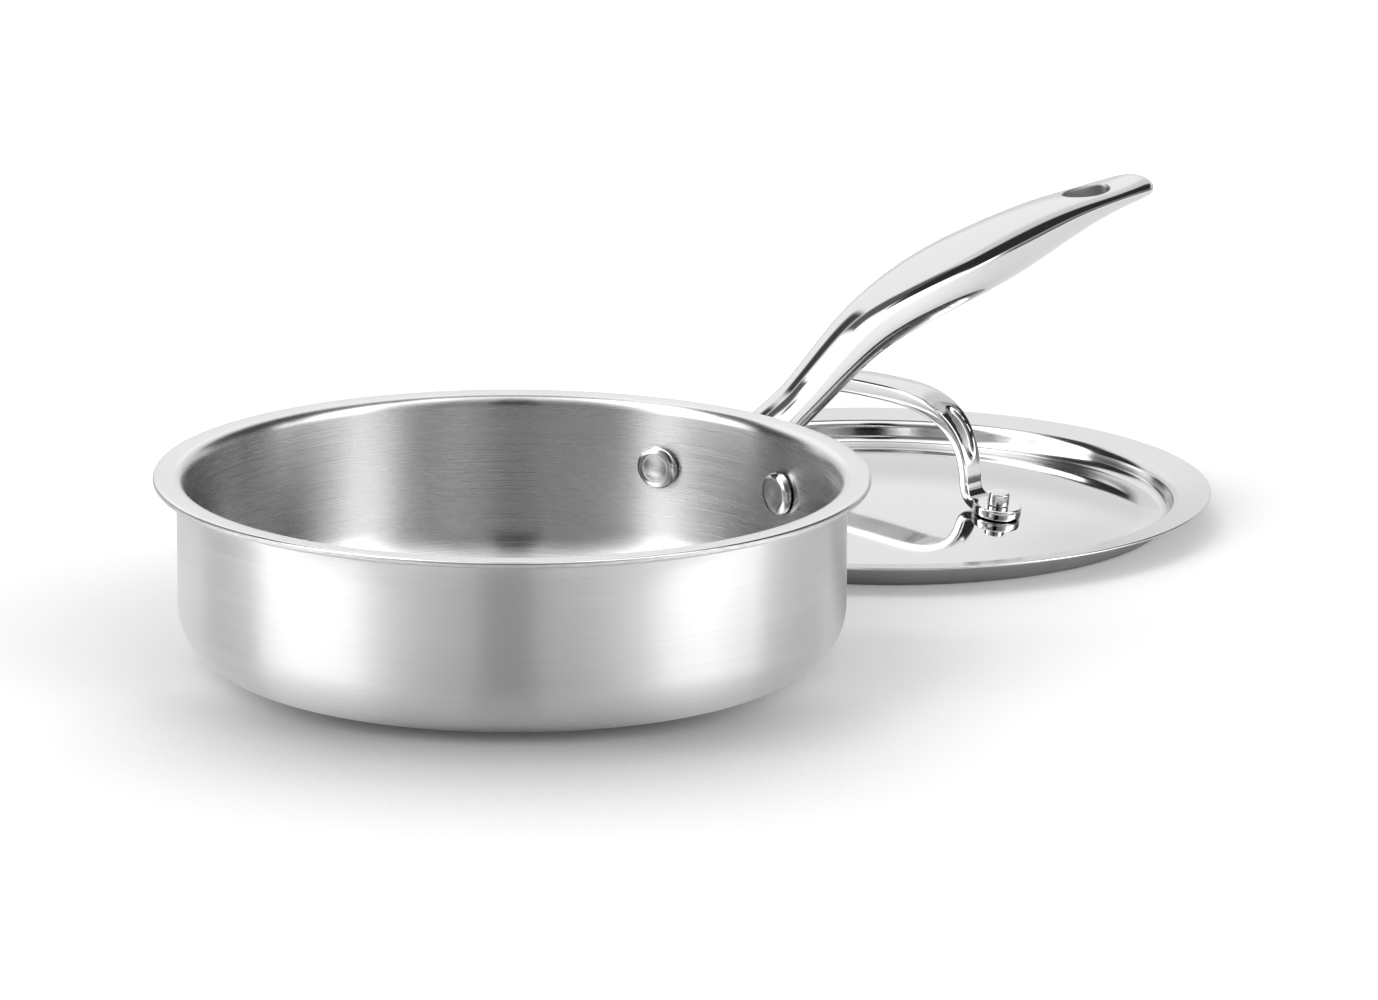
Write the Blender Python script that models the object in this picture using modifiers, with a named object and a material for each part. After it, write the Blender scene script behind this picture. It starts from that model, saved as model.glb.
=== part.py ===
"""Straight-sided saute pan of clad stainless steel, with its domed lid set down beside it.

The origin is the middle of the pan's base, +Z is up and the pan's handle points along +X.
All sizes are in metres.
"""

from math import asin, atan2, cos, pi, radians, sin, sqrt, tan

import bmesh
import bpy
from mathutils import Matrix, Vector

# Clearances between neighbouring pieces
SEAT_GAP = 0.0003
SHANK_CLEARANCE = 0.0003

# Facets of the round pieces
TURN_STEPS = 48
RIVET_STEPS = 24
CORNER_STEPS = 6
FILLET_STEPS = 4
DOME_STEPS = 7

# Pan body
WALL_RADIUS = 0.104
PAN_HEIGHT = 0.0588
BASE_CORNER_RADIUS = 0.018
SKIN_THICKNESS = 0.0004
CORE_THICKNESS = 0.0008
FLARE_RADIUS = 0.0014
LIP_RADIUS = 0.1113
LIP_SLOPE = radians(1)

# Pan rivets
RIVET_HEIGHT = 0.0383
RIVET_SPREAD = radians(14.6)
PAN_SHANK_RADIUS = 0.003
PAN_HEAD_RADIUS = 0.007
PAN_HEAD_FLAT_RADIUS = 0.0042
PAN_HEAD_HEIGHT = 0.0026
PAN_HEAD_EDGE = 0.0009
PAN_TAIL_RADIUS = 0.0046
PAN_TAIL_HEIGHT = 0.0014

# Handle foot, a rounded pad that hugs the wall
FOOT_THICKNESS = 0.0048
FOOT_HEIGHT = 0.0185
FOOT_OVERHANG = 0.0085
FOOT_END_STEPS = 8

# Handle: run from the wall, rise above the rivets, width, crown above and belly below the widest line
HANDLE_STATIONS = (
    (-0.004, -0.0010, 0.0270, 0.0070, 0.0080),
    (0.008, 0.0063, 0.0186, 0.0062, 0.0090),
    (0.0178, 0.0128, 0.0152, 0.0056, 0.0092),
    (0.0308, 0.0201, 0.0134, 0.0044, 0.0102),
    (0.0458, 0.0298, 0.0138, 0.0038, 0.0122),
    (0.0630, 0.0398, 0.0164, 0.0038, 0.0136),
    (0.0826, 0.0466, 0.0214, 0.0040, 0.0140),
    (0.1072, 0.0521, 0.0262, 0.0046, 0.0144),
    (0.1367, 0.0566, 0.0258, 0.0052, 0.0130),
    (0.1661, 0.0608, 0.0228, 0.0040, 0.0092),
    (0.1927, 0.0626, 0.0200, 0.0032, 0.0050),
    (0.2123, 0.0639, 0.0180, 0.0034, 0.0036),
)
HANDLE_SAMPLES = 26
HANDLE_TIP_ROUNDING = 0.0060
HANDLE_TIP_STEPS = 5
SECTION_POINTS = 20
CROWN_FULLNESS = 2.4
BELLY_FULLNESS = 2.2

# Hanging hole near the handle's tip
HOLE_FROM_TIP = 0.0310
HOLE_LENGTH = 0.0210
HOLE_WIDTH = 0.0115
HOLE_STEPS = 20

# Lid cover
LID_THICKNESS = 0.0010
LID_LIP_INSET = 0.0010
LID_HEIGHT = 0.0100
LID_FLANGE_SLOPE = radians(8.5)
LID_PLUG_CLEARANCE = 0.0038
LID_WALL_LEAN = radians(10)
LID_TOP_FILLET = 0.0022
LID_VALLEY_FILLET = 0.0042
LID_DOME_RADIUS = 0.0890
LID_CROWN_RADIUS = 0.0750
LID_DOME_SLOPE = radians(12.8)
LID_PAN_GAP = 0.0034
LID_BEARING = radians(7.97)
LID_HANDLE_BEARING = radians(88.37)

# Lid handle
ARCH_SPAN = 0.1032
ARCH_HEIGHT = 0.0334
ARCH_HALF_WIDTH_AT_LEG = 0.0397
STRAP_TOP_THICKNESS = 0.0061
STRAP_LEG_THICKNESS = 0.0034
STRAP_TOP_WIDTH = 0.0140
STRAP_LEG_WIDTH = 0.0080
ARCH_SAMPLES = 13
STRAP_POINTS = 12
STRAP_FULLNESS = 7.0
ARCH_FULLNESS = 3.0
PAD_RADIUS = 0.0080
PAD_THICKNESS = 0.0034
PAD_STEPS = 20
POCKET_START = radians(36)
POCKET_END = radians(72)
POCKET_WIDTH = 0.0052
POCKET_DEPTH = 0.0011

# Lid rivets
LID_SHANK_RADIUS = 0.0024
LID_STUD_RADIUS = 0.0036
LID_STUD_HEIGHT = 0.0040
LID_STUD_CHAMFER = 0.0005
LID_TAIL_RADIUS = 0.0052
LID_TAIL_HEIGHT = 0.0012

# Sizes that follow from the ones above
WALL_THICKNESS = 2 * SKIN_THICKNESS + CORE_THICKNESS + 2 * SEAT_GAP
PAN_INNER_RADIUS = WALL_RADIUS - WALL_THICKNESS
FLARE_END = pi / 2 + LIP_SLOPE
LIP_LENGTH = (LIP_RADIUS - WALL_RADIUS - FLARE_RADIUS * (1 + cos(FLARE_END))) / cos(LIP_SLOPE)
FLARE_START_HEIGHT = (
    PAN_HEIGHT - (FLARE_RADIUS + WALL_THICKNESS) * sin(FLARE_END) - LIP_LENGTH * sin(LIP_SLOPE)
)
FACET_INSET = cos(pi / TURN_STEPS)
HEAD_SEAT = sqrt((PAN_INNER_RADIUS * FACET_INSET) ** 2 - PAN_HEAD_RADIUS ** 2) - SEAT_GAP
FOOT_INNER_RADIUS = WALL_RADIUS + SEAT_GAP
FOOT_OUTER_RADIUS = FOOT_INNER_RADIUS + FOOT_THICKNESS
TAIL_SEAT = FOOT_OUTER_RADIUS + SEAT_GAP
HANDLE_TIP = WALL_RADIUS + HANDLE_STATIONS[-1][0]
LID_RADIUS = LIP_RADIUS - LID_LIP_INSET
LID_STANDOFF = WALL_RADIUS + LID_PAN_GAP + LID_RADIUS
CROWN_SPHERE = LID_CROWN_RADIUS / sin(LID_DOME_SLOPE)
CROWN_EDGE_HEIGHT = (LID_DOME_RADIUS - LID_CROWN_RADIUS) * tan(LID_DOME_SLOPE)
CROWN_CENTRE = CROWN_EDGE_HEIGHT - CROWN_SPHERE * cos(LID_DOME_SLOPE)
PAD_SEAT = CROWN_SPHERE + LID_THICKNESS + SEAT_GAP
PAD_TOP = PAD_SEAT + PAD_THICKNESS
PAD_TILT = asin(ARCH_SPAN / 2 / PAD_TOP)
ARCH_BASE = CROWN_CENTRE + sqrt(PAD_SEAT ** 2 - ARCH_HALF_WIDTH_AT_LEG ** 2)


def arc(centre, radius, start, end, steps):
    """Points on a circle from one angle to another, both ends included."""
    angles = [start + (end - start) * i / steps for i in range(steps + 1)]
    return [(centre[0] + radius * cos(a), centre[1] + radius * sin(a)) for a in angles]


def pan_surface(depth):
    """Half section of the pan at a depth inside its outer face, from the axis to the lip."""
    corner = (WALL_RADIUS - BASE_CORNER_RADIUS, BASE_CORNER_RADIUS)
    flare = (WALL_RADIUS + FLARE_RADIUS, FLARE_START_HEIGHT)
    points = [(0.0, depth)]
    points += arc(corner, BASE_CORNER_RADIUS - depth, -pi / 2, 0.0, CORNER_STEPS)
    points += arc(flare, FLARE_RADIUS + depth, pi, FLARE_END, FILLET_STEPS)
    last = points[-1]
    points.append((last[0] + LIP_LENGTH * cos(LIP_SLOPE), last[1] + LIP_LENGTH * sin(LIP_SLOPE)))
    return points


def lid_surface(depth, dome_only=False):
    """Half section of the lid at a depth above its lower face, from the axis to the flange's edge."""
    crown = arc((0.0, CROWN_CENTRE), CROWN_SPHERE + depth, pi / 2, pi / 2 - LID_DOME_SLOPE, DOME_STEPS)
    dome_edge = (LID_DOME_RADIUS + depth * tan(LID_DOME_SLOPE / 2), depth)
    points = [(0.0, crown[0][1])] + crown[1:] + [dome_edge]
    if dome_only:
        return points
    lean = LID_WALL_LEAN
    slope = LID_FLANGE_SLOPE
    wall_top = PAN_INNER_RADIUS - LID_PLUG_CLEARANCE
    top_x = wall_top + LID_TOP_FILLET * cos(lean)
    flange_length = (LID_RADIUS - top_x + LID_TOP_FILLET * sin(slope)) / cos(slope)
    top_z = LID_HEIGHT - (LID_TOP_FILLET + LID_THICKNESS) * cos(slope) - flange_length * sin(slope)
    wall_rise = top_z + LID_TOP_FILLET * sin(lean) - LID_VALLEY_FILLET * (1 - sin(lean))
    valley_x = wall_top - wall_rise * sin(lean) / cos(lean) - LID_VALLEY_FILLET * cos(lean)
    valley = (valley_x, LID_VALLEY_FILLET)
    points += arc(valley, LID_VALLEY_FILLET - depth, -pi / 2, -lean, FILLET_STEPS)
    points += arc((top_x, top_z), LID_TOP_FILLET + depth, pi - lean, pi / 2 + slope, FILLET_STEPS)
    last = points[-1]
    points.append((last[0] + flange_length * cos(slope), last[1] + flange_length * sin(slope)))
    return points


def smooth_value(rows, column, run):
    """Value of one column of a station table at a run, on a smooth curve through the stations."""
    k = 0
    while k < len(rows) - 2 and run > rows[k + 1][0]:
        k += 1
    low, high = rows[k], rows[k + 1]
    before = rows[max(k - 1, 0)]
    after = rows[min(k + 2, len(rows) - 1)]
    gap = high[0] - low[0]
    t = (run - low[0]) / gap
    slope_low = (high[column] - before[column]) / (high[0] - before[0]) * gap
    slope_high = (after[column] - low[column]) / (after[0] - low[0]) * gap
    blend = 3 * t ** 2 - 2 * t ** 3
    value = low[column] + (high[column] - low[column]) * blend
    value += slope_low * (t ** 3 - 2 * t ** 2 + t) + slope_high * (t ** 3 - t ** 2)
    return value


def oval(half_width, upper, lower, upper_fullness, lower_fullness, count):
    """Closed section: side offset and height, with unlike heights above and below its widest line."""
    points = []
    for i in range(count):
        angle = 2 * pi * i / count
        above = sin(angle) >= 0
        power = 2 / (upper_fullness if above else lower_fullness)
        side = abs(cos(angle)) ** power * (1 if cos(angle) >= 0 else -1)
        height = abs(sin(angle)) ** power * (upper if above else -lower)
        points.append((half_width * side, height))
    return points


def clear_scene():
    for item in list(bpy.data.objects):
        bpy.data.objects.remove(item, do_unlink=True)


def make_collection(name):
    collection = bpy.data.collections.new(name)
    bpy.context.scene.collection.children.link(collection)
    return collection


def steel(name, colour, roughness):
    """Principled metal of one colour."""
    material = bpy.data.materials.new(name)
    material.use_nodes = True
    shader = material.node_tree.nodes["Principled BSDF"]
    shader.inputs["Base Color"].default_value = (*colour, 1.0)
    shader.inputs["Metallic"].default_value = 1.0
    shader.inputs["Roughness"].default_value = roughness
    return material


def add_object(name, mesh, collection, parent=None):
    item = bpy.data.objects.new(name, mesh)
    collection.objects.link(item)
    item.parent = parent
    return item


def add_cutter(name, mesh, parent=None):
    item = add_object(name, mesh, CUTTERS, parent)
    item.hide_render = True
    item.display_type = "WIRE"
    return item


def profile_mesh(name, profile):
    """Open chain of edges in the XZ plane, ready to be turned."""
    mesh = bpy.data.meshes.new(name)
    vertices = [(r, 0.0, z) for r, z in profile]
    mesh.from_pydata(vertices, [(i, i + 1) for i in range(len(vertices) - 1)], [])
    return mesh


def turn(item, steps):
    """Turn an object's profile once about its own Z axis."""
    screw = item.modifiers.new("turn", "SCREW")
    screw.axis = "Z"
    screw.angle = 2 * pi
    screw.steps = steps
    screw.render_steps = steps
    screw.use_merge_vertices = True
    screw.merge_threshold = 0.00001
    screw.use_smooth_shade = True


def loft_mesh(name, rings):
    """Closed skin over a row of sections that have equal counts of points."""
    shape = bmesh.new()
    rows = [[shape.verts.new(point) for point in ring] for ring in rings]
    count = len(rows[0])
    for first, second in zip(rows, rows[1:]):
        for i in range(count):
            j = (i + 1) % count
            shape.faces.new((first[i], first[j], second[j], second[i]))
    shape.faces.new(rows[0])
    shape.faces.new(reversed(rows[-1]))
    bmesh.ops.recalc_face_normals(shape, faces=shape.faces)
    return finish_mesh(name, shape)


def prism_mesh(name, outline, low, high):
    """Flat outline in the XY plane, given a thickness along Z."""
    rings = [[(x, y, z) for x, y in outline] for z in (low, high)]
    return loft_mesh(name, rings)


def finish_mesh(name, shape):
    mesh = bpy.data.meshes.new(name)
    shape.to_mesh(mesh)
    shape.free()
    mesh.shade_smooth()
    mesh.set_sharp_from_angle(angle=radians(40))
    return mesh


def boolean(item, operation, tool):
    modifier = item.modifiers.new(operation.lower() + "_" + tool.name, "BOOLEAN")
    modifier.operation = operation
    modifier.solver = "EXACT"
    modifier.object = tool


def radial_matrix(bearing, height):
    """Frame whose Z axis points from a spot outside the pan's wall to the pan's axis."""
    turn_inward = Matrix.Rotation(-pi / 2, 4, "Y")
    return Matrix.Rotation(bearing, 4, "Z") @ Matrix.Translation((0.0, 0.0, height)) @ turn_inward


def pad_matrix(side):
    """Frame on the lid's dome at one foot of its handle, with X outward and Z square to the dome."""
    swing = Matrix.Rotation(0.0 if side > 0 else pi, 4, "Z")
    tilt = Matrix.Rotation(PAD_TILT, 4, "Y")
    centre = Matrix.Translation((0.0, 0.0, CROWN_CENTRE))
    return Matrix.Rotation(LID_HANDLE_BEARING, 4, "Z") @ swing @ centre @ tilt


def build_pan():
    """Three bonded plies, turned from sections that share their centres."""
    outer_depth = SKIN_THICKNESS
    core_start = outer_depth + SEAT_GAP
    core_end = core_start + CORE_THICKNESS
    inner_start = core_end + SEAT_GAP
    plies = (
        ("pan_outer_ply", 0.0, outer_depth, (0.62, 0.62, 0.63), 0.24),
        ("pan_core_ply", core_start, core_end, (0.80, 0.80, 0.79), 0.45),
        ("pan_inner_ply", inner_start, WALL_THICKNESS, (0.60, 0.60, 0.60), 0.34),
    )
    made = []
    for name, low, high, colour, roughness in plies:
        profile = pan_surface(high) + pan_surface(low)[::-1]
        ply = add_object(name, profile_mesh(name, profile), PARTS)
        turn(ply, TURN_STEPS)
        ply.data.materials.append(steel(name + "_steel", colour, roughness))
        made.append(ply)
    return made


def pan_rivet_profile():
    """From the top of the inner head, down its outer side and the shank, to the tail outside."""
    shank = TAIL_SEAT - HEAD_SEAT
    head = [(0.0, PAN_HEAD_HEIGHT), (PAN_HEAD_FLAT_RADIUS, PAN_HEAD_HEIGHT * 0.97)]
    rise = PAN_HEAD_HEIGHT - PAN_HEAD_EDGE
    spread = PAN_HEAD_RADIUS - PAN_HEAD_FLAT_RADIUS
    for i in range(1, 5):
        angle = pi / 2 * i / 4
        head.append((PAN_HEAD_FLAT_RADIUS + spread * sin(angle), PAN_HEAD_EDGE + rise * cos(angle) * 0.97))
    head.append((PAN_HEAD_RADIUS, 0.0))
    body = [(PAN_SHANK_RADIUS, 0.0), (PAN_SHANK_RADIUS, -shank)]
    tail = [(PAN_TAIL_RADIUS, -shank)]
    for i in range(1, 4):
        angle = pi / 2 * i / 3
        tail.append((PAN_TAIL_RADIUS * cos(angle), -shank - PAN_TAIL_HEIGHT * sin(angle)))
    tail[-1] = (0.0, -shank - PAN_TAIL_HEIGHT)
    return head + body + tail


def build_pan_rivets(pierced):
    """Two rivets through the wall and the handle's foot, and the holes for them."""
    for name, side in (("pan_rivet_left", 1), ("pan_rivet_right", -1)):
        bearing = side * RIVET_SPREAD
        place = radial_matrix(bearing, RIVET_HEIGHT)
        rivet = add_object(name, profile_mesh(name, pan_rivet_profile()), PARTS)
        turn(rivet, RIVET_STEPS)
        rivet.matrix_world = place @ Matrix.Translation((0.0, 0.0, -HEAD_SEAT))
        rivet.data.materials.append(steel(name + "_steel", (0.72, 0.72, 0.72), 0.15))
        reach = PAN_HEAD_RADIUS
        hole_radius = PAN_SHANK_RADIUS + SHANK_CLEARANCE
        near = -(PAN_INNER_RADIUS - reach)
        far = -(TAIL_SEAT + reach)
        profile = [(0.0, near), (hole_radius, near), (hole_radius, far), (0.0, far)]
        drill = add_cutter(name + "_hole", profile_mesh(name + "_hole", profile))
        turn(drill, RIVET_STEPS)
        drill.matrix_world = place
        for item in pierced:
            boolean(item, "DIFFERENCE", drill)


def handle_ring(run, width_scale=1.0, depth_scale=1.0):
    """Section of the handle at a run from the wall, square to the handle's own slope."""
    step = 0.0005
    last = HANDLE_STATIONS[-1][0]
    ahead = min(run + step, last)
    behind = ahead - 2 * step
    rise = smooth_value(HANDLE_STATIONS, 1, ahead) - smooth_value(HANDLE_STATIONS, 1, behind)
    slope = atan2(rise, 2 * step)
    height = RIVET_HEIGHT + smooth_value(HANDLE_STATIONS, 1, run)
    half_width = smooth_value(HANDLE_STATIONS, 2, run) / 2 * width_scale
    crown = smooth_value(HANDLE_STATIONS, 3, run) * depth_scale
    belly = smooth_value(HANDLE_STATIONS, 4, run) * depth_scale
    ring = []
    for side, up in oval(half_width, crown, belly, CROWN_FULLNESS, BELLY_FULLNESS, SECTION_POINTS):
        ring.append((WALL_RADIUS + run - up * sin(slope), side, height + up * cos(slope)))
    return ring


def handle_rings():
    """Sections from inside the wall to the rounded tip."""
    first, last = HANDLE_STATIONS[0][0], HANDLE_STATIONS[-1][0]
    tip_radius = HANDLE_STATIONS[-1][2] / 2
    body_end = last - tip_radius
    rings = [handle_ring(first + (body_end - first) * i / HANDLE_SAMPLES) for i in range(HANDLE_SAMPLES + 1)]
    for i in range(1, HANDLE_TIP_STEPS + 1):
        angle = radians(84) * i / HANDLE_TIP_STEPS
        run = body_end + tip_radius * sin(angle)
        inset = max(0.0, run - last + HANDLE_TIP_ROUNDING) / HANDLE_TIP_ROUNDING
        rings.append(handle_ring(run, cos(angle), sqrt(1 - inset ** 2)))
    return rings


def pill_outline(half_length, radius, steps):
    """Rounded bar outline, centred on the origin, with its long side along the first axis."""
    reach = half_length - radius
    right = arc((reach, 0.0), radius, -pi / 2, pi / 2, steps)
    left = arc((-reach, 0.0), radius, pi / 2, 3 * pi / 2, steps)
    return right + left


def build_handle():
    """Cast handle: its loft, joined to a foot that is cut to the wall's curve."""
    handle = add_object("pan_handle", loft_mesh("pan_handle", handle_rings()), PARTS)
    handle.data.materials.append(steel("handle_polished_steel", (0.74, 0.74, 0.74), 0.08))
    half_length = WALL_RADIUS * sin(RIVET_SPREAD) + FOOT_OVERHANG
    outline = pill_outline(half_length, FOOT_HEIGHT / 2, FOOT_END_STEPS)
    start = FOOT_INNER_RADIUS * cos(asin(half_length / FOOT_INNER_RADIUS)) - FOOT_THICKNESS
    end = FOOT_OUTER_RADIUS + FOOT_THICKNESS
    foot = add_cutter("foot_block", prism_mesh("foot_block", outline, start, end))
    foot.matrix_world = Matrix(
        ((0, 0, 1, 0), (1, 0, 0, 0), (0, 1, 0, RIVET_HEIGHT), (0, 0, 0, 1))
    )
    drum = [(0.0, PAN_HEIGHT), (FOOT_OUTER_RADIUS, PAN_HEIGHT), (FOOT_OUTER_RADIUS, 0.0), (0.0, 0.0)]
    foot_drum = add_cutter("foot_outer_drum", profile_mesh("foot_outer_drum", drum))
    turn(foot_drum, TURN_STEPS)
    boolean(foot, "INTERSECT", foot_drum)
    boolean(handle, "UNION", foot)
    wall = [
        (0.0, 2 * PAN_HEIGHT), (FOOT_INNER_RADIUS, 2 * PAN_HEIGHT),
        (FOOT_INNER_RADIUS, -PAN_HEIGHT), (0.0, -PAN_HEIGHT),
    ]
    wall_drum = add_cutter("wall_clearance_drum", profile_mesh("wall_clearance_drum", wall))
    turn(wall_drum, TURN_STEPS)
    boolean(handle, "DIFFERENCE", wall_drum)
    centre = HANDLE_TIP - HOLE_FROM_TIP
    hole = []
    for i in range(HOLE_STEPS):
        angle = 2 * pi * i / HOLE_STEPS
        hole.append((centre + HOLE_LENGTH / 2 * cos(angle), HOLE_WIDTH / 2 * sin(angle)))
    drill = add_cutter("hanging_hole", prism_mesh("hanging_hole", hole, PAN_HEIGHT, 3 * PAN_HEIGHT))
    boolean(handle, "DIFFERENCE", drill)
    return handle


def build_lid_cover(frame):
    profile = lid_surface(LID_THICKNESS) + lid_surface(0.0)[::-1]
    cover = add_object("lid_cover", profile_mesh("lid_cover", profile), PARTS, frame)
    turn(cover, TURN_STEPS)
    cover.data.materials.append(steel("lid_steel", (0.66, 0.66, 0.67), 0.14))
    return cover


def arch_point(angle):
    """Middle line of the strap at an angle from its top, and the direction out of its outer face."""
    half, rise = ARCH_HALF_WIDTH_AT_LEG, ARCH_HEIGHT
    power = 2 / ARCH_FULLNESS
    side = 1 if sin(angle) >= 0 else -1
    x = side * half * abs(sin(angle)) ** power
    z = ARCH_BASE + rise * abs(cos(angle)) ** power
    normal_x = side * (abs(x) / half) ** (ARCH_FULLNESS - 1) / half
    normal_z = ((z - ARCH_BASE) / rise) ** (ARCH_FULLNESS - 1) / rise
    return Vector((x, 0.0, z)), Vector((normal_x, 0.0, normal_z)).normalized()


def leg_share(height):
    """How far down the leg a height lies: none at the top of the strap, all at the lid."""
    share = min(max(1 - (height - ARCH_BASE) / ARCH_HEIGHT, 0.0), 1.0)
    return 1 - (1 - share) ** 3


def strap_half_thickness(height):
    return (STRAP_TOP_THICKNESS + (STRAP_LEG_THICKNESS - STRAP_TOP_THICKNESS) * leg_share(height)) / 2


def strap_ring(angle, drop=0.0):
    centre, normal = arch_point(angle)
    share = leg_share(centre.z)
    width = STRAP_TOP_WIDTH + (STRAP_LEG_WIDTH - STRAP_TOP_WIDTH) * share
    half = strap_half_thickness(centre.z)
    ring = []
    for side, out in oval(width / 2, half, half, STRAP_FULLNESS, STRAP_FULLNESS, STRAP_POINTS):
        ring.append(centre + normal * out + Vector((0.0, side, -drop)))
    return ring


def strap_rings():
    """Sections from below one foot, over the top, to below the other."""
    angles = [pi / 2 * i / ARCH_SAMPLES for i in range(-ARCH_SAMPLES, ARCH_SAMPLES + 1)]
    rings = [strap_ring(angle) for angle in angles]
    sunk = 2 * PAD_THICKNESS
    return [strap_ring(angles[0], sunk)] + rings + [strap_ring(angles[-1], sunk)]


def pad_outline():
    """Round foot with a narrower root that reaches back to the leg."""
    root = ARCH_SPAN / 2 - ARCH_HALF_WIDTH_AT_LEG
    half_root = STRAP_LEG_WIDTH / 2
    turn_on = asin(half_root / PAD_RADIUS)
    outline = arc((0.0, 0.0), PAD_RADIUS, -pi + turn_on, pi - turn_on, PAD_STEPS)
    return outline + [(-root, half_root), (-root, -half_root)]


def pocket_mesh(name, start, end):
    """Long shallow dish sunk into the strap's outer face between two angles."""
    rings = []
    count = 8
    for i in range(count + 1):
        share = 2 * i / count - 1
        scale = sqrt(max(1 - (0.97 * share) ** 2, 0.0))
        centre, normal = arch_point(start + (end - start) * i / count)
        middle = centre + normal * strap_half_thickness(centre.z)
        section = oval(POCKET_WIDTH / 2 * scale, POCKET_DEPTH, POCKET_DEPTH * scale, 2.4, 2.4, 12)
        rings.append([middle + normal * out + Vector((0.0, side, 0.0)) for side, out in section])
    return loft_mesh(name, rings)


def build_lid_handle(frame):
    handle = add_object("lid_handle", loft_mesh("lid_handle", strap_rings()), PARTS, frame)
    handle.rotation_euler = (0.0, 0.0, LID_HANDLE_BEARING)
    handle.data.materials.append(steel("lid_handle_polished_steel", (0.74, 0.74, 0.74), 0.08))
    for name, side in (("front_pad", -1), ("rear_pad", 1)):
        pad_mesh = prism_mesh(name, pad_outline(), CROWN_SPHERE - PAD_THICKNESS, PAD_TOP)
        pad = add_cutter(name, pad_mesh, frame)
        pad.matrix_local = pad_matrix(side)
        boolean(handle, "UNION", pad)
    dome = lid_surface(LID_THICKNESS + SEAT_GAP, dome_only=True)
    floor = -CROWN_EDGE_HEIGHT - PAD_THICKNESS
    dome += [(dome[-1][0], floor), (0.0, floor)]
    dome_block = add_cutter("dome_clearance", profile_mesh("dome_clearance", dome), frame)
    turn(dome_block, TURN_STEPS)
    boolean(handle, "DIFFERENCE", dome_block)
    pockets = (("front_pocket", -POCKET_START, -POCKET_END), ("rear_pocket", POCKET_START, POCKET_END))
    for name, start, end in pockets:
        pocket = add_cutter(name, pocket_mesh(name, start, end), frame)
        pocket.rotation_euler = (0.0, 0.0, LID_HANDLE_BEARING)
        boolean(handle, "DIFFERENCE", pocket)
    return handle


def lid_rivet_profile():
    """From the top of the stud, down its side and the shank, to the flat head under the lid."""
    seat = PAD_TOP + SEAT_GAP
    top = seat + LID_STUD_HEIGHT
    tail = CROWN_SPHERE - SEAT_GAP
    bottom = tail - LID_TAIL_HEIGHT
    return [
        (0.0, top),
        (LID_STUD_RADIUS - LID_STUD_CHAMFER, top),
        (LID_STUD_RADIUS, top - LID_STUD_CHAMFER),
        (LID_STUD_RADIUS, seat),
        (LID_SHANK_RADIUS, seat),
        (LID_SHANK_RADIUS, tail),
        (LID_TAIL_RADIUS, tail),
        (LID_TAIL_RADIUS - LID_STUD_CHAMFER, bottom),
        (0.0, bottom),
    ]


def build_lid_rivets(frame, pierced):
    """Two rivets square to the dome, and the holes for them."""
    for name, side in (("lid_rivet_front", -1), ("lid_rivet_rear", 1)):
        rivet = add_object(name, profile_mesh(name, lid_rivet_profile()), PARTS, frame)
        turn(rivet, RIVET_STEPS)
        rivet.matrix_local = pad_matrix(side)
        rivet.data.materials.append(steel(name + "_steel", (0.72, 0.72, 0.72), 0.12))
        hole_radius = LID_SHANK_RADIUS + SHANK_CLEARANCE
        high = PAD_TOP + PAD_THICKNESS
        low = CROWN_SPHERE - PAD_THICKNESS
        profile = [(0.0, high), (hole_radius, high), (hole_radius, low), (0.0, low)]
        drill = add_cutter(name + "_hole", profile_mesh(name + "_hole", profile), frame)
        turn(drill, RIVET_STEPS)
        drill.matrix_local = pad_matrix(side)
        for item in pierced:
            boolean(item, "DIFFERENCE", drill)


def build_lid():
    """The lid rests on the table beside the pan and is drawn out sideways from under the handle."""
    frame = bpy.data.objects.new("lid_frame", None)
    PARTS.objects.link(frame)
    frame.location = (LID_STANDOFF * cos(LID_BEARING), LID_STANDOFF * sin(LID_BEARING), 0.0)
    cover = build_lid_cover(frame)
    handle = build_lid_handle(frame)
    build_lid_rivets(frame, (cover, handle))


clear_scene()
PARTS = make_collection("saute_pan")
CUTTERS = make_collection("cutters")
pan_plies = build_pan()
pan_handle = build_handle()
build_pan_rivets(pan_plies + [pan_handle])
build_lid()
bpy.context.view_layer.update()
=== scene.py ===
"""Saute pan of clad stainless steel with its domed lid beside it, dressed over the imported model.

All sizes are in metres. The origin is the middle of the pan's base and the handle points along +X.
"""

from math import acos, asin, atan2, cos, pi, radians, sin, sqrt, tan

import bmesh
import bpy
import numpy as np
from bpy.props import FloatProperty, FloatVectorProperty, PointerProperty
from mathutils import Matrix, Vector


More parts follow.
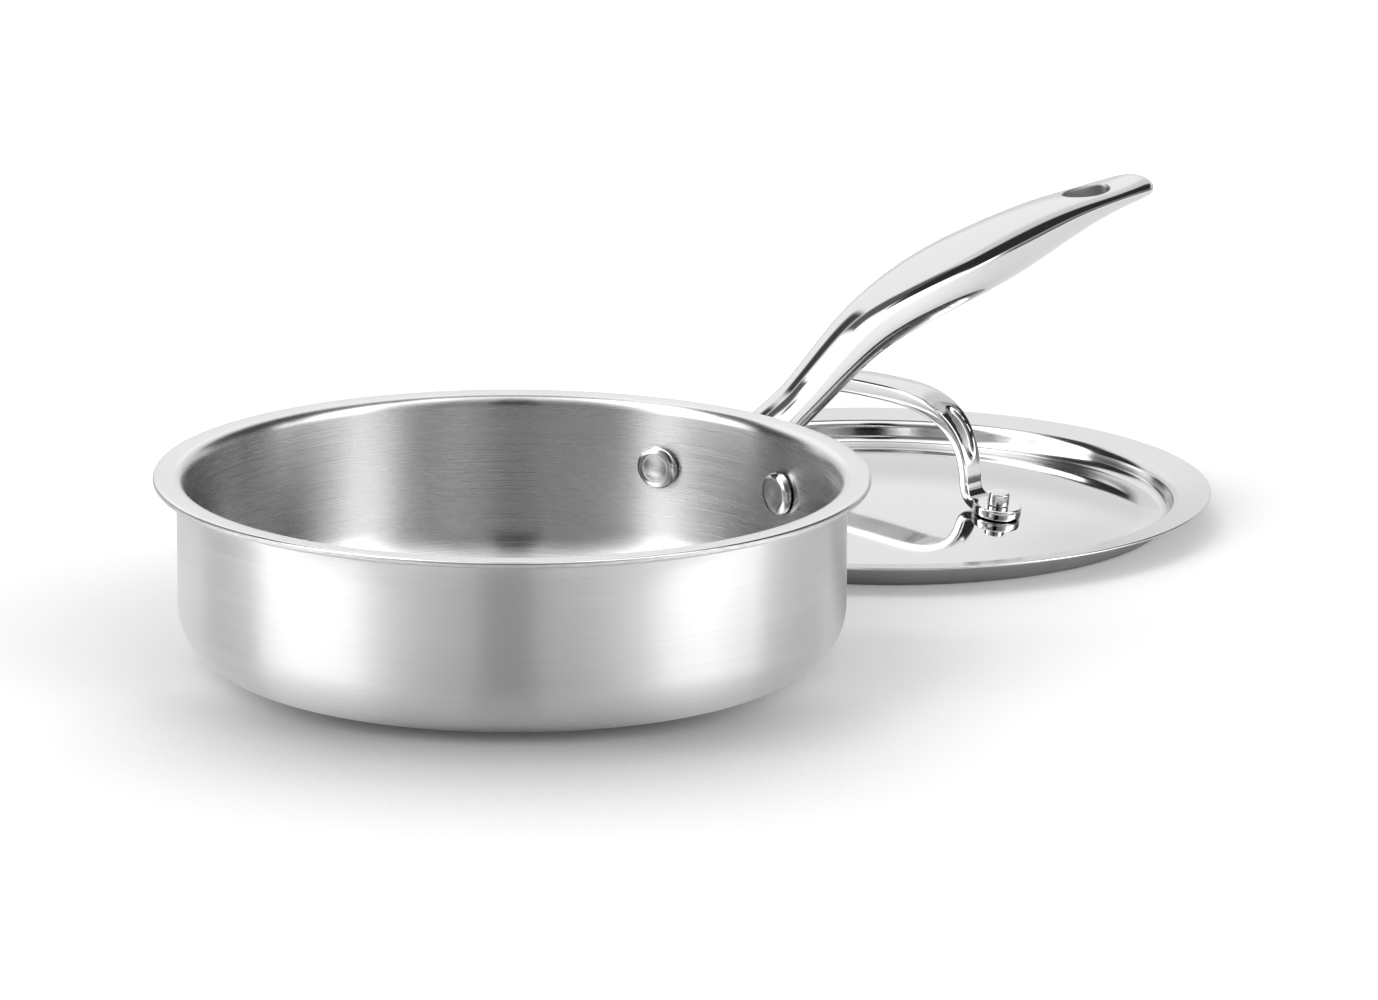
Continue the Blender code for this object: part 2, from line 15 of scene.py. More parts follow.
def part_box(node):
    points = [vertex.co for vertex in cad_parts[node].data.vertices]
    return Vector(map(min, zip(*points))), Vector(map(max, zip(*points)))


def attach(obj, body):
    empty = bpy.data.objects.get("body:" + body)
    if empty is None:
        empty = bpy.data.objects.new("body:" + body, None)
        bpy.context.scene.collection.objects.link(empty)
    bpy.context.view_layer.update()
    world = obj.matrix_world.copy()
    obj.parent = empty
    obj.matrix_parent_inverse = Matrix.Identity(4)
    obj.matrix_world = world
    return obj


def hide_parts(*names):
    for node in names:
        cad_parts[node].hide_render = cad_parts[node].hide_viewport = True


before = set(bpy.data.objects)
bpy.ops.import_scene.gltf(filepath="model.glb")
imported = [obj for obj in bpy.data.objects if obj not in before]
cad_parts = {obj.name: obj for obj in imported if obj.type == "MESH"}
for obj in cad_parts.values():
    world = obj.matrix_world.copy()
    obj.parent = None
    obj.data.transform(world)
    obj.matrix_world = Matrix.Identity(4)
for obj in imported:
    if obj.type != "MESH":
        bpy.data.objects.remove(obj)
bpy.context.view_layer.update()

bl_info = {
    "name": "Saute Pan With Lid",
    "version": (1, 0, 0),
    "blender": (4, 5, 0),
    "location": "View3D > Sidebar > Saute Pan",
    "description": "Builds a clad saute pan, its cast handle and its domed lid",
    "category": "Add Mesh",
}

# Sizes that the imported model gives
OUTER_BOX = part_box("pan_outer_ply")
INNER_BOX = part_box("pan_inner_ply")
COVER_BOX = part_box("lid_cover")
PAN_TOP = INNER_BOX[1][2]
LIP_RADIUS = OUTER_BOX[1][0]
LID_X = (COVER_BOX[0][0] + COVER_BOX[1][0]) / 2
LID_Y = (COVER_BOX[0][1] + COVER_BOX[1][1]) / 2
LID_EDGE_RADIUS = (COVER_BOX[1][0] - COVER_BOX[0][0]) / 2
PACKED_FACETS = 48

# Facets of the smooth pieces
TURN_SEGMENTS = 256
RIVET_SEGMENTS = 64
DRILL_SEGMENTS = 32
RIVET_STEPS = 12
STUD_STEPS = 8
CORNER_STEPS = 20
RIM_STEPS = 12
BASE_ROWS = 5
WALL_ROWS = 10
LIP_ROWS = 2
DOME_ROWS = 44
SKIRT_ROWS = 5
STEP_ROWS = 2
FLANGE_ROWS = 4
HANDLE_ROWS = 190
HANDLE_POINTS = 96
TIP_STEPS = 24
FOOT_EDGE_STEPS = 8
FILLET_STEPS = 15
HOLE_POINTS = 64
HOLE_EDGE_STEPS = 6
STRAP_ROWS = 110
STRAP_CORNER_STEPS = 7
STRAP_FACE_STEPS = 26
BEND_STEPS = 14
PAD_STEPS = 40
SHARP_DEGREES = 38.0

# Places and clearances that no property sets
SEAT_GAP = 0.0003
DRILL_START = 0.090
WALL_DRILL_END = 0.115
FOOT_DRILL_END = 0.125
NECK_RUN = 0.0125
LID_SHANK_RADIUS = 0.0024
POCKET_START = radians(36)
POCKET_END = radians(72)

# Handle's sections: run from the wall, rise above the rivets, width, crown above the widest line
# and belly below it
HANDLE_STATIONS = (
    (-0.004, -0.0010, 0.0270, 0.0070, 0.0080),
    (0.008, 0.0063, 0.0186, 0.0062, 0.0090),
    (0.0178, 0.0128, 0.0152, 0.0056, 0.0092),
    (0.0308, 0.0201, 0.0134, 0.0044, 0.0102),
    (0.0458, 0.0298, 0.0138, 0.0038, 0.0122),
    (0.0630, 0.0398, 0.0164, 0.0038, 0.0136),
    (0.0826, 0.0466, 0.0214, 0.0040, 0.0140),
    (0.1072, 0.0521, 0.0262, 0.0046, 0.0144),
    (0.1367, 0.0566, 0.0258, 0.0052, 0.0130),
    (0.1661, 0.0608, 0.0228, 0.0040, 0.0092),
    (0.1927, 0.0626, 0.0200, 0.0032, 0.0050),
    (0.2123, 0.0632, 0.0180, 0.0042, 0.0029),
)
HANDLE_LENGTH = HANDLE_STATIONS[-1][0]
TIP_RADIUS = HANDLE_STATIONS[-1][2] / 2
LAST_TIP_ANGLE = radians(88)


# Properties


def metres(name, description, default):
    return FloatProperty(name=name, description=description, default=default, min=0.0,
                         unit="LENGTH", precision=5)


def rotation(name, description, default):
    return FloatProperty(name=name, description=description, default=default, unit="ROTATION")


def number(name, description, default):
    return FloatProperty(name=name, description=description, default=default)


def factor(name, description, default):
    return FloatProperty(name=name, description=description, default=default, min=0.0, max=1.0,
                         subtype="FACTOR")


def tint(name, description, default):
    return FloatVectorProperty(name=name, description=description, default=default, min=0.0,
                               max=1.0, subtype="COLOR")


class PanSizes(bpy.types.PropertyGroup):
    """Sizes of the clad body and its rivets."""

    wall_radius: metres("Wall radius", "Outside radius of the straight wall", 0.104)
    corner_radius: metres("Corner radius", "Outside radius between base and wall", 0.018)
    skin: metres("Skin", "Thickness of each steel ply", 0.0004)
    core: metres("Core", "Thickness of the middle ply", 0.0008)
    ply_gap: metres("Ply gap", "Space between neighbouring plies", 0.0003)
    flare_radius: metres("Flare radius", "Outside radius between wall and lip", 0.0014)
    lip_slope: rotation("Lip slope", "Rise of the lip towards its edge", radians(1))
    rim_rounding: metres("Rim rounding", "Radius of the rim's top and bottom edges", 0.0009)
    rivet_height: metres("Rivet height", "Height of the rivets above the base", 0.0383)
    rivet_spread: rotation("Rivet spread", "Bearing of each rivet from the handle", radians(14.6))
    head_radius: metres("Head radius", "Radius of the rivet head inside", 0.0070)
    head_height: metres("Head height", "Height of the rivet head inside", 0.0026)
    head_flat: metres("Head flat", "Radius of the flat on the head", 0.0042)
    shank_radius: metres("Shank radius", "Radius of the rivet through the wall", 0.0030)
    tail_radius: metres("Tail radius", "Radius of the rivet tail outside", 0.0046)
    tail_height: metres("Tail height", "Height of the rivet tail outside", 0.0014)


class HandleSizes(bpy.types.PropertyGroup):
    """Sizes of the cast handle's foot, section and hanging hole."""

    foot_thickness: metres("Foot thickness", "Thickness of the foot on the wall", 0.0048)
    foot_height: metres("Foot height", "Height of the foot", 0.0185)
    foot_overhang: metres("Foot overhang", "Foot past each rivet", 0.0085)
    root_fillet: metres("Root fillet", "Fillet where the neck leaves the foot", 0.0040)
    crown_fullness: number("Crown fullness", "2 is an ellipse, more is squarer", 2.4)
    belly_fullness: number("Belly fullness", "2 is an ellipse, more is squarer", 2.2)
    tip_rounding: metres("Tip rounding", "Rounding of the tip's edge", 0.0070)
    hole_from_tip: metres("Hole from tip", "Middle of the hanging hole from the tip", 0.0310)
    hole_length: metres("Hole length", "Length of the hanging hole", 0.0210)
    hole_width: metres("Hole width", "Width of the hanging hole", 0.0115)
    hole_edge: metres("Hole edge", "Rounding of the hole's edge", 0.0008)


class LidSizes(bpy.types.PropertyGroup):
    """Sizes of the lid cover, its strap handle and its rivets."""

    thickness: metres("Thickness", "Thickness of the cover", 0.0010)
    height: metres("Height", "Height of the flange's edge", 0.0100)
    flange_slope: rotation("Flange slope", "Fall of the flange towards the step", radians(8.5))
    plug_radius: metres("Plug radius", "Radius of the step where it meets the flange", 0.0980)
    wall_lean: rotation("Step lean", "Lean of the step from upright", radians(10))
    top_fillet: metres("Top fillet", "Fillet between step and flange", 0.0022)
    valley_fillet: metres("Valley fillet", "Fillet between step and valley", 0.0042)
    dome_radius: metres("Dome radius", "Radius of the dome's foot", 0.0890)
    crown_radius: metres("Crown radius", "Radius where the dome's crown begins", 0.0750)
    dome_slope: rotation("Dome slope", "Slope of the dome's skirt", radians(12.8))
    handle_bearing: rotation("Handle bearing", "Direction of the strap across the lid",
                             radians(88.37))
    arch_span: metres("Arch span", "Distance between the two feet", 0.1032)
    arch_height: metres("Arch height", "Height of the strap above its feet", 0.0334)
    arch_half_width: metres("Arch half width", "Half the distance between the legs", 0.0397)
    arch_fullness: number("Arch fullness", "2 is an ellipse, more is squarer", 3.0)
    strap_top_thickness: metres("Top thickness", "Thickness of the strap at its top", 0.0061)
    strap_leg_thickness: metres("Leg thickness", "Thickness of the strap at its legs", 0.0034)
    strap_top_width: metres("Top width", "Width of the strap at its top", 0.0140)
    strap_leg_width: metres("Leg width", "Width of the strap at its legs", 0.0080)
    pad_radius: metres("Foot radius", "Radius of each foot", 0.0080)
    pad_thickness: metres("Foot thickness", "Thickness of each foot", 0.0034)
    strap_crown: metres("Strap crown", "Fall of the strap's top towards its sides", 0.0010)
    pocket_depth: metres("Pocket depth", "Depth of the dish in each leg", 0.0011)
    pocket_width: metres("Pocket width", "Width of the dish in each leg", 0.0052)
    stud_radius: metres("Stud radius", "Radius of the stud on each foot", 0.0036)
    stud_height: metres("Stud height", "Height of the stud on each foot", 0.0040)


class Finishes(bpy.types.PropertyGroup):
    """Colours and roughness of the steels."""

    satin: tint("Satin steel", "Colour of the outer wall", (0.74, 0.74, 0.745))
    # painted highlight: the lip's colour is brighter than its steel to stand in for the light on
    # the lip; only its lower roughness comes from buffing
    lip: tint("Lip", "Steel of the lip, buffed brighter than the wall", (0.90, 0.90, 0.90))
    brushed: tint("Brushed steel", "Colour of the cooking surface", (0.735, 0.735, 0.735))
    polished: tint("Polished steel", "Colour of the handles and rivets", (0.80, 0.80, 0.80))
    lid: tint("Lid steel", "Colour of the lid cover", (0.76, 0.76, 0.765))
    core: tint("Core metal", "Colour of the core's edge", (0.62, 0.62, 0.62))
    satin_roughness: factor("Satin roughness", "Roughness of the outer wall", 0.36)
    brushed_roughness: factor("Brushed roughness", "Roughness of the cooking surface", 0.25)
    polished_roughness: factor("Polished roughness", "Roughness of the handles", 0.05)
    pan_rivet_roughness: factor("Pan rivet roughness", "Roughness of the pan's rivets", 0.12)
    lid_roughness: factor("Lid roughness", "Roughness of the lid's dome", 0.06)
    lid_rivet_roughness: factor("Lid rivet roughness", "Roughness of the lid's rivets", 0.10)


class StageSettings(bpy.types.PropertyGroup):
    """Floor and light of the studio."""

    floor_colour: tint("Floor colour", "Colour of the table", (0.90, 0.90, 0.90))
    floor_size: metres("Floor size", "Side of the table", 4.0)
    shadow_reach: metres("Shadow reach", "How far the contact shadow spreads", 0.16)
    backdrop: number("Backdrop", "Brightness of the backdrop", 1.0)
    softbox: number("Softbox", "Brightness of the side softboxes", 2.75)


class PanSettings(bpy.types.PropertyGroup):
    """Everything that a user would change."""

    pan: PointerProperty(type=PanSizes)
    handle: PointerProperty(type=HandleSizes)
    lid: PointerProperty(type=LidSizes)
    finishes: PointerProperty(type=Finishes)
    stage: PointerProperty(type=StageSettings)


# Shape helpers


def clamp(value):
    """Value held between 0 and 1."""
    return min(max(value, 0.0), 1.0)


def quarter_turn(steps):
    """Angles from 0 to a right angle in equal steps, both included."""
    return [pi / 2 * i / steps for i in range(steps + 1)]


def arc(centre, radius, start, end, steps):
    """Points on a circle from one angle to another, both ends included."""
    angles = [start + (end - start) * i / steps for i in range(steps + 1)]
    return [(centre[0] + radius * cos(a), centre[1] + radius * sin(a)) for a in angles]


def rows_between(first, second, count):
    """Points on a straight line between two points, both ends left out."""
    steps = [i / (count + 1) for i in range(1, count + 1)]
    return [(first[0] + (second[0] - first[0]) * t, first[1] + (second[1] - first[1]) * t)
            for t in steps]


def finish_mesh(name, shape, sharp=SHARP_DEGREES):
    """Turn a bmesh into a smooth mesh whose faces point outwards."""
    bmesh.ops.remove_doubles(shape, verts=shape.verts, dist=1e-7)
    bmesh.ops.recalc_face_normals(shape, faces=shape.faces)
    mesh = bpy.data.meshes.new(name)
    shape.to_mesh(mesh)
    shape.free()
    mesh.shade_smooth()
    mesh.set_sharp_from_angle(angle=radians(sharp))
    return mesh


def revolved(name, profile, segments, matrix=Matrix()):
    """Closed half section turned about Z, then put in its place."""
    shape = bmesh.new()
    rings = []
    for radius, height in profile:
        if radius < 1e-9:
            rings.append([shape.verts.new((0.0, 0.0, height))])
            continue
        turn = [2 * pi * i / segments for i in range(segments)]
        rings.append([shape.verts.new((radius * cos(a), radius * sin(a), height)) for a in turn])
    for first, second in zip(rings, rings[1:] + rings[:1]):
        if len(first) == 1 and len(second) == 1:
            continue
        for i in range(segments):
            j = (i + 1) % segments
            corners = [first[i % len(first)], first[j % len(first)],
                       second[j % len(second)], second[i % len(second)]]
            shape.faces.new(list(dict.fromkeys(corners)))
    shape.transform(matrix)
    return finish_mesh(name, shape)


def lofted(name, rings, sharp=SHARP_DEGREES):
    """Closed skin over a row of sections that have equal counts of points."""
    shape = bmesh.new()
    rows = [[shape.verts.new(point) for point in ring] for ring in rings]
    count = len(rows[0])
    for first, second in zip(rows, rows[1:]):
        for i in range(count):
            j = (i + 1) % count
            shape.faces.new((first[i], first[j], second[j], second[i]))
    for row in (rows[0], rows[-1]):
        middle = shape.verts.new(sum((v.co for v in row), Vector()) / count)
        for i in range(count):
            shape.faces.new((row[i], row[(i + 1) % count], middle))
    return finish_mesh(name, shape, sharp)


def link_piece(name, mesh):
    piece = bpy.data.objects.new(name, mesh)
    bpy.context.scene.collection.objects.link(piece)
    return piece


def evaluated_mesh(piece):
    """Plain mesh of a piece with its modifiers applied."""
    graph = bpy.context.evaluated_depsgraph_get()
    return bpy.data.meshes.new_from_object(piece.evaluated_get(graph))


def cut(piece, tools):
    """Take closed meshes away from a piece, and leave it without modifiers."""
    made = [link_piece(mesh.name, mesh) for mesh in tools]
    for tool in made:
        modifier = piece.modifiers.new(tool.name, "BOOLEAN")
        modifier.operation = "DIFFERENCE"
        modifier.solver = "EXACT"
        modifier.object = tool
    result = evaluated_mesh(piece)
    piece.modifiers.clear()
    old, name = piece.data, piece.data.name
    piece.data = result
    bpy.data.meshes.remove(old)
    result.name = name
    for tool in made:
        mesh = tool.data
        bpy.data.objects.remove(tool)
        bpy.data.meshes.remove(mesh)
    result.shade_smooth()
    result.set_sharp_from_angle(angle=radians(SHARP_DEGREES))


def oval(half_width, upper, lower, upper_fullness, lower_fullness, count):
    """Closed section as side offsets and heights, unlike above and below its widest line."""
    points = []
    for i in range(count):
        angle = 2 * pi * i / count
        above = sin(angle) >= 0
        power = 2 / (upper_fullness if above else lower_fullness)
        side = abs(cos(angle)) ** power * (1 if cos(angle) >= 0 else -1)
        height = abs(sin(angle)) ** power * (upper if above else -lower)
        points.append((half_width * side, height))
    return points


def dress(piece, material, body, slot, *nodes):
    """Give a piece its finish and its body, and hide the imported nodes that it stands for."""
    piece.data.materials.clear()
    piece.data.materials.append(material)
    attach(piece, body)
    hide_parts(*nodes)


# Node helpers


class Tree:
    """Short calls for adding and joining nodes."""

    def __init__(self, tree):
        self.nodes = tree.nodes
        self.links = tree.links

    def add(self, kind, settings=None, **inputs):
        node = self.nodes.new(kind)
        for key, value in (settings or {}).items():
            setattr(node, key, value)
        for key, value in inputs.items():
            self.put(node, key.replace("_", " "), value)
        return node

    def put(self, node, key, value):
        """Join a socket to an input, or set the input's own value."""
        socket = node.inputs[int(key)] if key.isdigit() else node.inputs[key]
        if isinstance(value, bpy.types.NodeSocket):
            self.links.new(value, socket)
        else:
            socket.default_value = value

    def operate(self, kind, operation, values):
        node = self.nodes.new(kind)
        node.operation = operation
        for i, value in enumerate(values):
            self.put(node, str(i), value)
        return node.outputs

    def math(self, operation, *values):
        return self.operate("ShaderNodeMath", operation, values)[0]

    def vector(self, operation, *values):
        kept = "Value" if operation in ("DOT_PRODUCT", "LENGTH") else "Vector"
        return self.operate("ShaderNodeVectorMath", operation, values)[kept]

    def plus(self, first, second):
        return self.math("ADD", first, second)

    def less(self, first, second):
        return self.math("SUBTRACT", first, second)

    def times(self, first, second):
        return self.math("MULTIPLY", first, second)

    def ramp(self, value, low, high, out_low=0.0, out_high=1.0, smooth=True):
        node = self.nodes.new("ShaderNodeMapRange")
        node.interpolation_type = "SMOOTHSTEP" if smooth else "LINEAR"
        for key, item in (("Value", value), ("From Min", low), ("From Max", high),
                          ("To Min", out_low), ("To Max", out_high)):
            self.put(node, key, item)
        return node.outputs["Result"]

    def between(self, share, first, second):
        """Number that goes straight from the first to the second as a share goes from 0 to 1."""
        return self.ramp(share, 0.0, 1.0, first, second, smooth=False)

    def blend(self, share, first, second):
        """Colour that goes from the first to the second as a share goes from 0 to 1."""
        node = self.add("ShaderNodeMix", {"data_type": "RGBA"})
        for key, item in (("0", share), ("6", first), ("7", second)):
            self.put(node, key, item)
        return node.outputs[2]

    def noise(self, place, scale, detail, roughness=0.5):
        node = self.add("ShaderNodeTexNoise", Vector=place, Scale=scale, Detail=detail,
                        Roughness=roughness)
        return node.outputs["Fac"]

    def place(self):
        return self.add("ShaderNodeTexCoord").outputs["Object"]

    def parts(self, vector):
        return self.add("ShaderNodeSeparateXYZ", Vector=vector).outputs


def new_material(name):
    """Metal with its node tree and its shader."""
    material = bpy.data.materials.new(name)
    material.use_nodes = True
    shader = material.node_tree.nodes["Principled BSDF"]
    shader.inputs["Metallic"].default_value = 1.0
    return material, Tree(material.node_tree), shader


def opaque(colour, dimmed=1.0):
    return (*(part * dimmed for part in colour), 1.0)


def darkened(tree, colour, amount, share):
    """Colour that is darker by an amount where a pattern is 0, and full where it is 1."""
    return tree.blend(share, opaque(colour, 1 - amount), opaque(colour))


def brushed_steel(name, colour, roughness, centre=(0.0, 0.0), grain=1.0, spread=1.0, rings=(),
                  lip=None):
    """Steel brushed round an upright axis: lines follow the wall, and circles on flat parts.

    Each of the rings is a radius and the roughness beyond it. From the last ring the lip gets a
    colour brighter than the steel, a painted highlight.
    """
    lines_per_metre = 2400.0
    ring_blur = 0.0008
    groove_depth = 0.0001
    material, tree, shader = new_material(name)
    mapping = tree.add("ShaderNodeMapping", Vector=tree.place(),
                       Location=(-centre[0], -centre[1], 0.0))
    local = mapping.outputs["Vector"]
    x, y, z = tree.parts(local)
    radius = tree.math("SQRT", tree.plus(tree.times(x, x), tree.times(y, y)))
    across = tree.times(tree.plus(z, radius), lines_per_metre)

    def grooves(along, fineness, detail):
        """Noise drawn out round the axis: changes in a metre round it, and fineness across."""
        point = tree.add("ShaderNodeCombineXYZ", X=tree.times(x, along), Y=tree.times(y, along),
                         Z=tree.times(across, fineness))
        return tree.noise(point.outputs[0], 1.0, detail, 0.6)

    fine = grooves(22.0, 1.0, 2.0)
    broad = grooves(6.0, 0.11, 3.0)
    mixed = tree.plus(tree.times(fine, 0.8), tree.times(broad, 0.2))
    share = tree.ramp(mixed, 0.34, 0.66, smooth=False)
    steel = darkened(tree, colour, 0.10 * grain, share)
    rough = tree.between(share, roughness + 0.05 * grain, roughness - 0.03 * grain)
    height = fine
    for ring_radius, ring_roughness in rings:
        outside = tree.ramp(radius, ring_radius - ring_blur, ring_radius + ring_blur)
        beyond = tree.between(share, ring_roughness + 0.02, ring_roughness - 0.01)
        rough = tree.between(outside, rough, beyond)
        height = tree.times(height, tree.between(outside, 1.0, 0.1))
    # painted highlight: the lip's brighter colour stands in for the light it catches
    if lip is not None:
        steel = tree.blend(outside, steel, opaque(lip))
    around = tree.vector("NORMALIZE", tree.vector("CROSS_PRODUCT", (0.0, 0.0, 1.0), local))
    bump = tree.add("ShaderNodeBump", Strength=0.45 * grain, Distance=groove_depth, Height=height)
    for key, value in (("Base Color", steel), ("Roughness", rough), ("Anisotropic", spread),
                       ("Anisotropic Rotation", 0.25), ("Tangent", around),
                       ("Normal", bump.outputs["Normal"])):
        tree.put(shader, key, value)
    return material


def polished_steel(name, colour, roughness, ripple=1.0, shaded_hole=None, cast=None):
    """Mirror-polished casting: faint ripple from the wheel, smears and hairline scratches.

    The hanging hole's middle, half length and half width come as one argument: inside the hole the
    colour is darkened as painted shade and the casting is left rougher. Cast names an attribute
    that is 1 where no wheel reached.
    """
    ripple_depth = 0.00006
    material, tree, shader = new_material(name)
    place = tree.place()
    wave = tree.noise(place, 95.0, 1.0, 0.4)
    smear = tree.ramp(tree.noise(place, 60.0, 4.0, 0.6), 0.35, 0.70)
    stretched = tree.add("ShaderNodeMapping", Vector=place, Scale=(120.0, 2600.0, 2600.0),
                         Rotation=(0.0, radians(-14), radians(3)))
    hair = tree.noise(stretched.outputs["Vector"], 1.0, 3.0, 0.7)
    hairline = tree.ramp(hair, 0.60, 0.78)
    darker, smear_and_hole_shade = 0.05, smear
    rough = tree.plus(tree.ramp(smear, 0.0, 1.0, roughness + 0.02, roughness),
                      tree.times(hairline, 0.04))
    if shaded_hole is not None:
        middle, half_length, half_width = shaded_hole
        x, y, _ = tree.parts(place)
        along = tree.math("DIVIDE", tree.less(x, middle), half_length)
        across = tree.math("DIVIDE", y, half_width)
        outward = tree.plus(tree.times(along, along), tree.times(across, across))
        # painted shade: the inside of the hanging hole is half as bright; the higher roughness
        # there is the unpolished casting
        darker, smear_and_hole_shade = 0.50, tree.ramp(outward, 1.02, 1.12)
        rough = tree.between(smear_and_hole_shade, 0.45, rough)
    if cast is not None:
        raw = tree.add("ShaderNodeAttribute", {"attribute_name": cast}).outputs["Fac"]
        rough = tree.ramp(raw, 0.2, 0.8, rough, 0.38)
    height = tree.plus(wave, tree.times(hairline, 0.02))
    bump = tree.add("ShaderNodeBump", Strength=0.35 * ripple, Distance=ripple_depth, Height=height)
    for key, value in (("Base Color", darkened(tree, colour, darker, smear_and_hole_shade)),
                       ("Roughness", rough), ("Normal", bump.outputs["Normal"])):
        tree.put(shader, key, value)
    return material


def cut_edge(name, colour):
    """Raw edge of the core: plain sheet with fine turning marks."""
    material, tree, shader = new_material(name)
    lines = tree.add("ShaderNodeMapping", Vector=tree.place(), Scale=(300.0, 300.0, 9000.0))
    marks = tree.noise(lines.outputs["Vector"], 1.0, 2.0)
    tree.put(shader, "Base Color", darkened(tree, colour, 0.25, tree.ramp(marks, 0.35, 0.65)))
    tree.put(shader, "Roughness", tree.ramp(marks, 0.3, 0.7, 0.50, 0.34))
    return material


# Pan


def wall_thickness(sizes):
    return 2 * sizes.skin + sizes.core + 2 * sizes.ply_gap


def pan_surface(sizes, depth):
    """Half section of the pan at a depth inside its outer face, from the axis to the lip."""
    wall, flare_radius, corner_radius = sizes.wall_radius, sizes.flare_radius, sizes.corner_radius
    flare_end = pi / 2 + sizes.lip_slope
    lip = (LIP_RADIUS - wall - flare_radius * (1 + cos(flare_end))) / cos(sizes.lip_slope)
    flare_z = (PAN_TOP - (flare_radius + wall_thickness(sizes)) * sin(flare_end)
               - lip * sin(sizes.lip_slope))
    corner = arc((wall - corner_radius, corner_radius), corner_radius - depth, -pi / 2, 0.0,
                 CORNER_STEPS)
    flare = arc((wall + flare_radius, flare_z), flare_radius + depth, pi, flare_end, CORNER_STEPS)
    last = flare[-1]
    edge = (last[0] + lip * cos(sizes.lip_slope), last[1] + lip * sin(sizes.lip_slope))
    points = [(0.0, depth)] + rows_between((0.0, depth), corner[0], BASE_ROWS)
    points += corner + rows_between(corner[-1], flare[0], WALL_ROWS) + flare
    return points + rows_between(last, edge, LIP_ROWS) + [edge]


def ply_profile(sizes, low, high):
    """Closed section of one ply, whose end follows the rim's round edge."""
    upper, lower = pan_surface(sizes, high), pan_surface(sizes, low)
    top, bottom = Vector(upper[-1]), Vector(lower[-1])
    inward = (Vector(upper[-2]) - top).normalized()
    rounding = sizes.rim_rounding
    rim = []
    for i in range(RIM_STEPS + 1):
        depth = high + (low - high) * i / RIM_STEPS
        from_face = min(depth, wall_thickness(sizes) - depth, rounding)
        inset = rounding - sqrt(rounding ** 2 - (rounding - from_face) ** 2)
        rim.append(tuple(top.lerp(bottom, i / RIM_STEPS) + inward * inset))
    return upper[:-1] + rim + lower[:-1][::-1]


def radial_matrix(bearing, height):
    """Frame whose Z axis points from a spot outside the pan's wall to the pan's axis."""
    turn_inward = Matrix.Rotation(-pi / 2, 4, "Y")
    outward = Matrix.Rotation(bearing, 4, "Z") @ Matrix.Translation((0.0, 0.0, height))
    return outward @ turn_inward


def rivet_drills(sizes, far):
    """Two rods where the pan's rivets pass, out to a distance from the pan's axis."""
    radius = sizes.shank_radius + sizes.ply_gap
    profile = [(0.0, -DRILL_START), (radius, -DRILL_START), (radius, -far), (0.0, -far)]
    places = [radial_matrix(side * sizes.rivet_spread, sizes.rivet_height) for side in (-1, 1)]
    return [revolved("drill", profile, DRILL_SEGMENTS, place) for place in places]


def head_seat(sizes):
    """Distance of the rivet head's seat from the pan's axis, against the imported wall's facets."""
    inner = (sizes.wall_radius - wall_thickness(sizes)) * cos(pi / PACKED_FACETS)
    return sqrt(inner ** 2 - sizes.head_radius ** 2) - sizes.ply_gap


def rivet_profile(sizes, seat, foot_thickness):
    """Half section of a pan rivet, whose head sits on the plane at 0, from its head to its tail."""
    edge = 0.0009
    dish = 0.00025
    chamfer = 0.0002
    shank = sizes.wall_radius + 2 * sizes.ply_gap + foot_thickness - seat
    spread = sizes.head_radius - sizes.head_flat
    rise = sizes.head_height - edge
    profile = [(sizes.head_flat * t, sizes.head_height - dish * (1 - t ** 2))
               for t in (0.0, 0.25, 0.5, 0.75, 0.95)]
    profile += [(sizes.head_flat + spread * sin(angle), edge + rise * cos(angle))
                for angle in quarter_turn(RIVET_STEPS)]
    profile += [(sizes.head_radius, chamfer), (sizes.head_radius - chamfer, 0.0),
                (sizes.shank_radius, 0.0), (sizes.shank_radius, -shank),
                (sizes.tail_radius - chamfer, -shank)]
    profile += [(sizes.tail_radius * cos(angle), -shank - sizes.tail_height * sin(angle))
                for angle in quarter_turn(RIVET_STEPS)]
    profile[-1] = (0.0, -shank - sizes.tail_height)
    return profile


def ring_pattern(name):
    """Node tree that sets copies of a piece in a ring about an upright axis."""
    tree = bpy.data.node_groups.new(name, "GeometryNodeTree")
    for label, kind in (("Geometry", "Geometry"), ("Count", "Int"), ("First Bearing", "Float"),
                        ("Bearing Step", "Float"), ("Axis Place", "Vector"),
                        ("Material", "Material")):
        tree.interface.new_socket(label, in_out="INPUT", socket_type="NodeSocket" + kind)
    tree.interface.new_socket("Geometry", in_out="OUTPUT", socket_type="NodeSocketGeometry")
    nodes = Tree(tree)
    source = nodes.add("NodeGroupInput").outputs
    points = nodes.add("GeometryNodePoints", Count=source["Count"], Position=source["Axis Place"])
    index = nodes.add("GeometryNodeInputIndex").outputs[0]
    turn = nodes.plus(source["First Bearing"], nodes.times(index, source["Bearing Step"]))
    euler = nodes.add("ShaderNodeCombineXYZ", Z=turn)
    turned = nodes.add("FunctionNodeEulerToRotation", Euler=euler.outputs[0])
    copies = nodes.add("GeometryNodeInstanceOnPoints", Points=points.outputs[0],
                       Instance=source["Geometry"], Rotation=turned.outputs[0])
    solid = nodes.add("GeometryNodeRealizeInstances", Geometry=copies.outputs[0])
    painted = nodes.add("GeometryNodeSetMaterial", Geometry=solid.outputs[0],
                        Material=source["Material"])
    nodes.links.new(painted.outputs[0], nodes.add("NodeGroupOutput").inputs[0])
    return tree


def patterned(name, mesh, tree, **values):
    """Piece made of copies of a mesh, with the pattern applied."""
    piece = link_piece(name, mesh)
    modifier = piece.modifiers.new("pattern", "NODES")
    modifier.node_group = tree
    for item in tree.interface.items_tree:
        key = item.name.lower().replace(" ", "_")
        if item.in_out == "INPUT" and key in values:
            modifier[item.identifier] = values[key]
    result = evaluated_mesh(piece)
    piece.modifiers.clear()
    piece.data = result
    bpy.data.meshes.remove(mesh)
    result.name = name
    return piece


